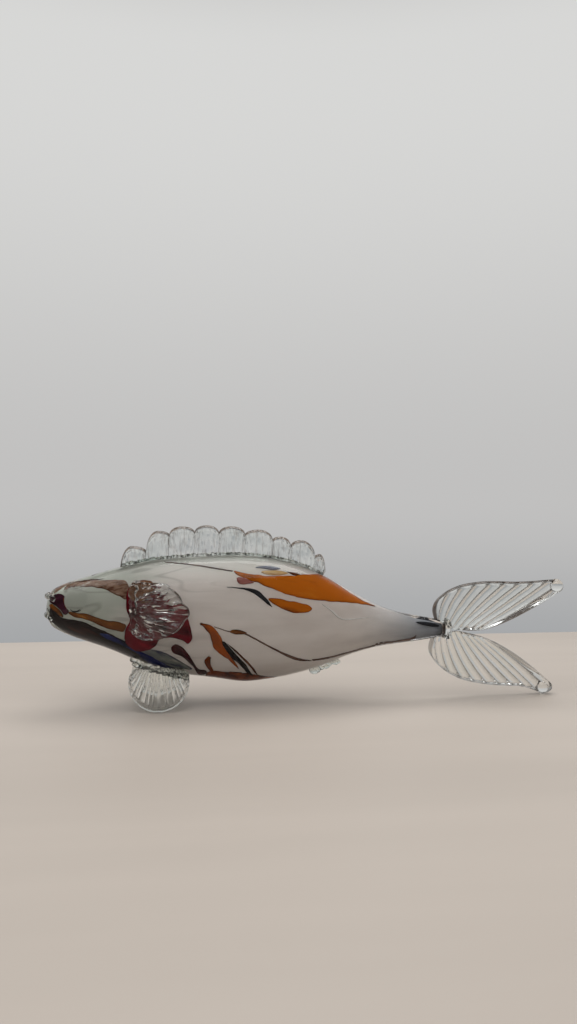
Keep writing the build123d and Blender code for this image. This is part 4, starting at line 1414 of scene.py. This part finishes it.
# %% Pinch the pectoral fins
def pectoral(side, name, node):
    """side is -1 on the viewer's side and 1 on the far side."""
    phase = np.linspace(0, PETALS - 0.001, PETALS * PETAL_STEPS)
    share = phase / PETALS
    bump = np.sin(phase % 1 * math.pi) ** 0.5
    rim = curve_through(PECTORAL_RIM, len(phase)) * (1 - PETAL_NOTCH + PETAL_NOTCH * bump)[:, None]
    root = np.stack([np.full_like(share, PECTORAL_ROOT), ROOT_TOP - ROOT_SPAN * share], axis=1)
    control = root + (rim - root) * [0.5, 0.62]
    anchor = skin_point((PECTORAL_PLACE[0], side * FAR, PECTORAL_PLACE[1]), (0, -side, 0))
    forward = np.array([math.cos(PECTORAL_LEAN), side * math.sin(PECTORAL_LEAN), 0])
    out = np.array([-math.sin(PECTORAL_LEAN), side * math.cos(PECTORAL_LEAN), 0])

    def crumpled(a, b):
        return noise.noise(Vector((a / CRUMPLE_WIDE, b / CRUMPLE_HIGH, 4)))

    def place(flat, height):
        fold = np.array([[crumpled(a, b) for a, b in row] for row in flat.tolist()])
        stand = height + STAND_OFF + CRUMPLE * fold * np.clip(flat[..., 0] / CRUMPLE_EASE, 0, 1)
        upward = flat[..., 1:] * np.array([0, 0, 1.0])
        spots = anchor + flat[..., :1] * forward + upward + stand[..., None] * out
        spots[..., 1] -= side * WIDEST_GIVE * np.maximum(side * spots[..., 1] - WIDEST, 0)
        return spots

    reach = np.sin(np.linspace(0, math.pi / 2, WEB_ROWS))[None, :]
    pinch = np.sin(phase * math.pi)[:, None] * PINCH * reach
    curl = np.sin(reach * CURLS + np.sin(phase * 1.7)[:, None] * 2.6) * CURL * reach
    shape = (root, control, rim)
    # Painted shade on the pectoral's outline and valleys, at this strength.
    web = pressed_web(name, shape, place, PECTORAL_THICK, phase, pinch + curl, painted_shade=(0.6, 3.0, 0.4))
    press(web, out, height=0.8, crease=0.7, creases=3, fade=2.6, uneven=1.6)
    lobe = drop("lobe", (0, 0, 0), LOBE_RADII)
    back, off, up = LOBE_PLACE
    shifted(lobe, anchor + back * forward + np.array([0, 0, up]) + off * out)
    drops = [np.array([0, 0, GATHER_TOP - GATHER_STEP * i]) for i in range(GATHER_STEPS)]
    path = [anchor + fall + forward * GATHER_BACK + out * GATHER_OFF for fall in drops]
    gather = beads("gather", path, 1.6, 1.6, 2.6, (0.8, 0.5, 0.6), 5)
    fin = melted(name, [web, lobe, gather], 0.36, 2)
    finished(fin, crumpled_crystal, "ribbed_crystal", node)


pectoral(-1, "left_pectoral_fin", "pectoral_fin_left")
pectoral(1, "right_pectoral_fin", "pectoral_fin_right")

# %% [markdown]
# ## The pelvic fins
# Two round fans, splayed so that the fish stands on them. Each is a disc of crystal pressed on a
# ribbed plate, with a bright round rim, and it is stuck to the belly with a thick bubbly gather.
# Its ribs stray a little from even spacing, as they do under a hand press.


# %% Size the pelvic fans
SPLAY = math.radians(25)
FAN_RIBS, RIB_STEPS = 20, 12
FAN_RADIUS, FAN_WIDEN, FAN_TOOTH = 18.3, 1.02, 0.25
FAN_START, FAN_SWEEP = -196, 212
FAN_ROOT_HALF, FAN_ROOT_RISE = 15, 8.5
FAN_MIDDLE = (-98.811, 14.48, 17.33)
FAN_THICK = (0.6, 1.6, 3.2)
BAND_SPAN, BAND_STEPS = (-16.5, 17.5), 24
BAND_BELOW, BAND_DEPTH, LOWER_BAND = 19, 1.2, 2.4
print("pelvic ribs:", FAN_RIBS)


# %% Press the pelvic fans
def pelvic(side, name, node):
    """side is -1 on the viewer's side and 1 on the far side."""
    phase = np.linspace(0, FAN_RIBS - 0.001, FAN_RIBS * RIB_STEPS)
    strayed = phase + 0.26 * np.sin(1.9 * phase) + 0.12 * np.sin(3.1 * phase)
    angle = np.radians(FAN_START + FAN_SWEEP * strayed / strayed[-1])
    radius = FAN_RADIUS + FAN_TOOTH * np.abs(np.sin(phase * math.pi))
    rim = np.stack([radius * FAN_WIDEN * np.cos(angle), radius * np.sin(angle)], axis=1)
    root_x = -FAN_ROOT_HALF + 2 * FAN_ROOT_HALF * phase / FAN_RIBS
    root = np.stack([root_x, np.full_like(root_x, FAN_ROOT_RISE)], axis=1)
    middle = np.array(FAN_MIDDLE) * [1, side, 1]
    up = np.array([0, -side * math.sin(SPLAY), math.cos(SPLAY)])
    out = np.array([0, side * math.cos(SPLAY), math.sin(SPLAY)])

    def place(flat, height):
        along = flat[..., :1] * np.array([1.0, 0, 0])
        spots = middle + along + flat[..., 1:] * up + height[..., None] * out
        spots[..., 2] = np.maximum(spots[..., 2], 0.0)
        return spots

    shape = (root, root * 0.62 + rim * 0.38, rim)
    # Painted shade on the pelvic fan's outline and valleys, at this strength.
    web = pressed_web(name, shape, place, FAN_THICK, phase, painted_shade=(0.4, 3.0, 0.4))
    press(web, out, height=0.85, crease=0.2, creases=2, fade=3.0, uneven=1.6)
    finished(web, fin_crystal, "ribbed_crystal", node)
    sideways = [np.array([across, 0, 0]) for across in np.linspace(*BAND_SPAN, BAND_STEPS)]
    path = np.array([skin_point(middle + step - BAND_BELOW * up, up) - BAND_DEPTH * up for step in sideways])
    band = beads("band", path, 0.9, 1.0, 1.9, (0.4, 1.0, 0.9), 7)
    lower_band = beads("lower_band", path - LOWER_BAND * up, 1.1, 0.7, 1.6, (0.5, 0.8, 0.8), 8)
    gather = melted(name + "_gather", [band, lower_band], 0.35, 1)
    finished(gather, gather_crystal, "ribbed_crystal")


pelvic(-1, "left_pelvic_fin", "pelvic_fin_left")
pelvic(1, "right_pelvic_fin", "pelvic_fin_right")

# %% [markdown]
# ## The anal fin and the knuckle
# Under the belly is one small pinched tab, a blob that trails off. The knuckle is a flattened
# drop between the stem and the tail, squeezed by the jack into flutes, with painted shade round
# each of its edges, where its curved glass bends light away.


# %% Pinch the tab
TAB_START, TAB_END = np.array([-0.2, 0, 19.3]), np.array([17.0, 0, 25.6])
TAB_BLOB_PLACE, TAB_BLOB_RADII = TAB_START + [1.0, 0, 0.6], (3.4, 2.8, 2.9)


def anal_tab():
    path = [TAB_START + (TAB_END - TAB_START) * share for share in np.linspace(0, 1, 12)]
    chain = beads("chain", path, 1.1, 0.9, 1.8, (0.5, 1.4, 0.9), 11)
    blob = drop("anal_blob", TAB_BLOB_PLACE, TAB_BLOB_RADII)
    finished(melted("anal_tab", [blob, chain], 0.3, 2), gather_crystal, "ribbed_crystal", "anal_fin")


anal_tab()

# %% Squeeze the knuckle
KNUCKLE_RADII, KNUCKLE_PLACE = (3.3, 7.0, 7.0), (90.0, 0, 45.0)
FLUTES, FLUTE_DEPTH = 9, 0.05
EDGE_SHADE_START, EDGE_SHADE_EASE = 0.5, 0.2


def knuckle():
    lump = drop("knuckle_drop", (0, 0, 0), KNUCKLE_RADII)
    for vertex in lump.data.vertices:
        turn = math.atan2(vertex.co.z, vertex.co.y)
        vertex.co *= 1 + FLUTE_DEPTH * math.cos(FLUTES * turn)
    # Painted shade towards both edges of the knuckle, where its curved glass bends light away.
    shares = [abs(vertex.co.x) / MM / KNUCKLE_RADII[0] for vertex in lump.data.vertices]
    rings = [min(max((share - EDGE_SHADE_START) / EDGE_SHADE_EASE, 0), 1) for share in shares]
    lump.data.attributes.new("painted_shade", "FLOAT", "POINT").data.foreach_set("value", rings)
    shifted(lump, KNUCKLE_PLACE)
    finished(lump, lobe_crystal, "ribbed_crystal", "tail_knuckle")


knuckle()

# %% [markdown]
# ## Eyes and lips
# The eyes are clear domes with no colour of their own. They are pressed on and hardly stand out,
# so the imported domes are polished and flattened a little. The lips are two thin wraps of crystal
# round the mouth, lumpy like the fins' seams, so they are strewn beads melted together.

# %% Polish the eyes
DOME_START, DOME_RISE = 14.0, 0.8
for node in ("eye_left", "eye_right"):
    eye = polished(node, node + "_glass", case_crystal)
    for vertex in eye.data.vertices:
        beyond = max(abs(vertex.co.y) / MM - DOME_START, 0) * (1 - DOME_RISE)
        vertex.co.y -= math.copysign(beyond * MM, vertex.co.y)
    finished(eye, case_crystal, "clear_crystal", node)


# %% Wrap the lips
LIP_TURN, LIP_STEPS = 1.45, 24
LIP_DEPTH, LIP_DROOP = 0.75, 0.6


def lip(name, height, width, front, seed, node):
    """A lumpy wrap round the nose, from cheek to cheek."""
    turns = np.linspace(-LIP_TURN, LIP_TURN, LIP_STEPS)
    along = front + width * LIP_DEPTH * (1 - np.cos(turns))
    path = np.stack([along, width * np.sin(turns), height - turns**2 * LIP_DROOP], axis=1)
    wrap = beads("wrap", path, 0.6, 1.3, 1.8, (0.3, 0.3, 0.5), seed)
    finished(melted(name, [wrap], 0.3, 8), fin_crystal, "clear_crystal", node)


lip("upper_lip_wrap", 70.6, 7.4, -168.7, 21, "upper_lip")
lip("lower_lip_wrap", 58.6, 6.6, -169.2, 22, "lower_lip")

# %% [markdown]
# ## The tail
# Two flat lobes are drawn out of one gather, pinched into curved ribs like a leaf's veins, and
# each ends in a knob where it was cut from the iron. A lobe's first rib runs up its short root
# side, and its last one runs along the long inner edge to the knob. The rows of points below are
# shares of a lobe's length and of its rise: its rim, its root, and the control points that bend
# the ribs between them.


# %% Measure the tail lobes
TAIL_X, TAIL_Z, TAIL_LENGTH = 90.0, 44.96, 82.0
UPPER_RISE, LOWER_RISE = 33.5, -44.96
LOBE_STEPS = 240
LOBE_THICK = (0.8, 2.1, 4.2)
UPPER_RIM = [
    (-0.075, 0.590), (-0.02, 0.71), (0.04, 0.80), (0.155, 0.895), (0.342, 0.945), (0.589, 0.930),
    (0.744, 0.940), (0.90, 0.965), (0.975, 0.94), (0.998, 0.85), (0.985, 0.76), (0.935, 0.70),
]
UPPER_ROOT = [(-0.10, 0.20), (-0.04, 0.10), (0.05, 0.0), (0.16, -0.04), (0.281, -0.041)]
UPPER_CONTROL = [(-0.145, 0.45), (0.02, 0.50), (0.22, 0.38), (0.40, 0.22), (0.56, 0.07)]
LOWER_RIM = [
    (-0.125, 0.40), (-0.09, 0.49), (-0.03, 0.595), (0.06, 0.70), (0.175, 0.780), (0.361, 0.845),
    (0.52, 0.868), (0.625, 0.880), (0.71, 0.92), (0.787, 0.975), (0.85, 0.985), (0.895, 0.94),
    (0.898, 0.87), (0.862, 0.80),
]
LOWER_ROOT = [(-0.13, 0.12), (-0.04, 0.075), (0.08, 0.03), (0.18, 0.06), (0.296, 0.115)]
LOWER_CONTROL = [(-0.175, 0.29), (-0.03, 0.45), (0.18, 0.42), (0.38, 0.36), (0.573, 0.297)]
UPPER_KNOB, UPPER_KNOB_RADIUS = (166.9, 0, 73.0), 4.7
LOWER_KNOB, LOWER_KNOB_RADIUS = (156.6, 0, 4.7), 4.3
print("tail length:", TAIL_LENGTH, "mm")


# %% Draw out the tail lobes
def tail_lobe(name, rise, shares, ribs, knob, knob_radius, dark, node):
    """A ribbed lobe. shares holds its rim, its root and its control points."""
    scale = np.array([TAIL_LENGTH, rise])
    rim, root, control = (curve_through(np.array(row) * scale, LOBE_STEPS) for row in shares)

    def place(flat, height):
        return np.stack([flat[..., 0] + TAIL_X, height, flat[..., 1] + TAIL_Z], axis=-1)

    phase = np.linspace(0, ribs, LOBE_STEPS)
    # dark sets how strong the painted shade on the lobe's outline and valleys is.
    shape, painted_shade = (root, control, rim), (dark, 0.3, 0.9)
    web = pressed_web(name, shape, place, LOBE_THICK, phase, painted_shade=painted_shade, free_root=0.6)
    press(web, (0, 1, 0), height=1.7, crease=0.3, creases=2, fade=4.5, uneven=0.5)
    lump = drop("knob", knob, (knob_radius, knob_radius, knob_radius))
    finished(melted(name, [web, lump], 0.4, 5), lobe_crystal, "ribbed_crystal", node)


tail_lobe(
    "upper_tail_lobe", UPPER_RISE, (UPPER_RIM, UPPER_ROOT, UPPER_CONTROL), 10,
    UPPER_KNOB, UPPER_KNOB_RADIUS, 1.0, "tail_lobe_upper",
)
tail_lobe(
    "lower_tail_lobe", LOWER_RISE, (LOWER_RIM, LOWER_ROOT, LOWER_CONTROL), 11,
    LOWER_KNOB, LOWER_KNOB_RADIUS, 0.7, "tail_lobe_lower",
)

# %% [markdown]
# ## The dark core
# The smoky glass in the end of the stem is the tip of the lining, folded in when the stem was
# drawn. From the side it is a thin dark lens, so it is a flattened drop that tapers forwards.


# %% Sink the dark core
CORE_RADII, CORE_PLACE, CORE_TILT = (9.4, 5.4, 1.4), (75.8, 0, 48.4), 1.5


def dark_core():
    core = drop("stem_core", (0, 0, 0), CORE_RADII)
    for vertex in core.data.vertices:
        share = vertex.co.x / (CORE_RADII[0] * MM)
        vertex.co.y *= 0.9 - 0.1 * share
        vertex.co.z *= 0.75 + 0.25 * share
        vertex.co += Vector((CORE_PLACE[0], CORE_PLACE[1], CORE_PLACE[2] - CORE_TILT * share)) * MM
    finished(core, chip_glasses["smoke_glass"], "smoke_glass", "tail_dark_core")


dark_core()

# %% [markdown]
# ## Camera, table and light
# The photograph was taken level, a little above the fish and turned seven degrees. The table is a
# plain pale top whose far edge lies behind the fish, and the wall is the world's colour. Two large
# soft lamps hang overhead. Glass needs something dark to draw its edges with, so the ceiling is
# dimmer than the wall, and for mirror-like reflections the room behind the camera is too.


# %% Set up the camera
SENSOR = 36
FRAME_HEIGHT = 1024
camera_data = bpy.data.cameras.new("camera")
camera_data.sensor_width = SENSOR
camera_data.lens = SENSOR * FRAME_FOCUS / FRAME_HEIGHT
camera = bpy.data.objects.new("camera", camera_data)
camera.location = CAMERA_PLACE * MM
camera.rotation_euler = (math.radians(90), 0, -CAMERA_TURN)
bpy.context.scene.collection.objects.link(camera)
bpy.context.scene.camera = camera
print("camera lens:", camera_data.lens, "mm")

# %% Lay the table
TABLE_X, TABLE_Y, TABLE_Z = (-900, 900), (-700, 262), (-8, 0)
TABLE_SIDES = [(0, 1, 3, 2), (4, 6, 7, 5), (0, 4, 5, 1), (2, 3, 7, 6), (0, 2, 6, 4), (1, 5, 7, 3)]
TABLE_TINTS = (0.44, 0.385, 0.335), (0.49, 0.43, 0.375)


def table_finish():
    """A pale matt finish with a faint grain."""
    finish, tree, shader = start_finish("pale_table")
    grain = cloud(tree, 120, 4, (8, 1, 1)).ramp(0.3, 0.7)
    plug(tree, tint(tree, grain, *TABLE_TINTS), shader.inputs["Base Color"])
    shader.inputs["Roughness"].default_value = 0.5
    return finish


table_corners = [(x, y, z) for x in TABLE_X for y in TABLE_Y for z in TABLE_Z]
table = new_piece("table_top", table_corners, TABLE_SIDES)
table.data.shade_flat()
table.data.materials.append(table_finish())
print("table laid")


# %% Light the room
WALL_LOW, WALL_FOOT, WALL_HIGH = (0.36, 0.37, 0.38), (0.53, 0.525, 0.52), (0.68, 0.68, 0.67)
CEILING, DARK_SIDE = (0.17, 0.16, 0.15), (0.13, 0.12, 0.11)
FLOOR_BELOW = (0.46, 0.40, 0.35)
SOFT_LIGHT = (0.65, 0.65, 0.65)


def room_light():
    """A pale wall with a dim ceiling for the camera, for glass and for gloss, and plain soft light
    from all round for matt surfaces."""
    world = bpy.data.worlds.new("room")
    bpy.context.scene.world = world
    world.use_nodes = True
    tree = world.node_tree
    background = tree.nodes["Background"]
    place = tree.nodes.new("ShaderNodeTexCoord")
    split = tree.nodes.new("ShaderNodeSeparateXYZ")
    tree.links.new(place.outputs["Generated"], split.inputs[0])
    deep, up = (Wire(tree, split.outputs[axis]) for axis in "YZ")
    rays = tree.nodes.new("ShaderNodeLightPath")
    glossy, seen, through = (
        Wire(tree, rays.outputs[name]) for name in ("Is Glossy Ray", "Is Camera Ray", "Is Transmission Ray")
    )
    low_wall = tint(tree, up.ramp(-0.19, 0.02), WALL_LOW, WALL_FOOT)
    wall = tint(tree, up.ramp(0.0, 0.5), low_wall, WALL_HIGH)
    ceiling = tint(tree, up.ramp(0.50, 0.72), wall, CEILING)
    behind = (deep * -1).ramp(-0.15, 0.25) * glossy
    room = tint(tree, behind, ceiling, DARK_SIDE)
    below = tint(tree, up.ramp(-0.40, -0.20), FLOOR_BELOW, room)
    shown = (seen + glossy + through).math("MINIMUM", 1.0) - Wire(tree, rays.outputs["Diffuse Depth"])
    plug(tree, tint(tree, shown.math("MAXIMUM", 0.0), SOFT_LIGHT, below), background.inputs["Color"])
    background.inputs["Strength"].default_value = 1


room_light()
print("room lit")


# %% Hang the lamps
FISH_MIDDLE = (0, 0, 0.05)
WINDOW_PLACE, WINDOW_SIZE, WINDOW_WATTS = (-0.3, -0.15, 1.2), (1.5, 1.0), 7
GLOW_PLACE, GLOW_SIZE, GLOW_WATTS = (0.2, 0.45, 1.2), (0.9, 0.5), 5


def softbox(name, place, size, watts):
    """A large soft lamp that looks at the middle of the fish. Places and sizes are in metres."""
    lamp = bpy.data.lights.new(name, "AREA")
    lamp.shape = "RECTANGLE"
    lamp.size, lamp.size_y = size
    lamp.energy = watts
    holder = bpy.data.objects.new(name, lamp)
    holder.location = place
    holder.rotation_euler = (Vector(FISH_MIDDLE) - Vector(place)).to_track_quat("-Z", "Y").to_euler()
    bpy.context.scene.collection.objects.link(holder)


softbox("window", WINDOW_PLACE, WINDOW_SIZE, WINDOW_WATTS)
softbox("ceiling_glow", GLOW_PLACE, GLOW_SIZE, GLOW_WATTS)
bpy.context.scene.view_settings.view_transform = "Standard"
print("lamps hung")
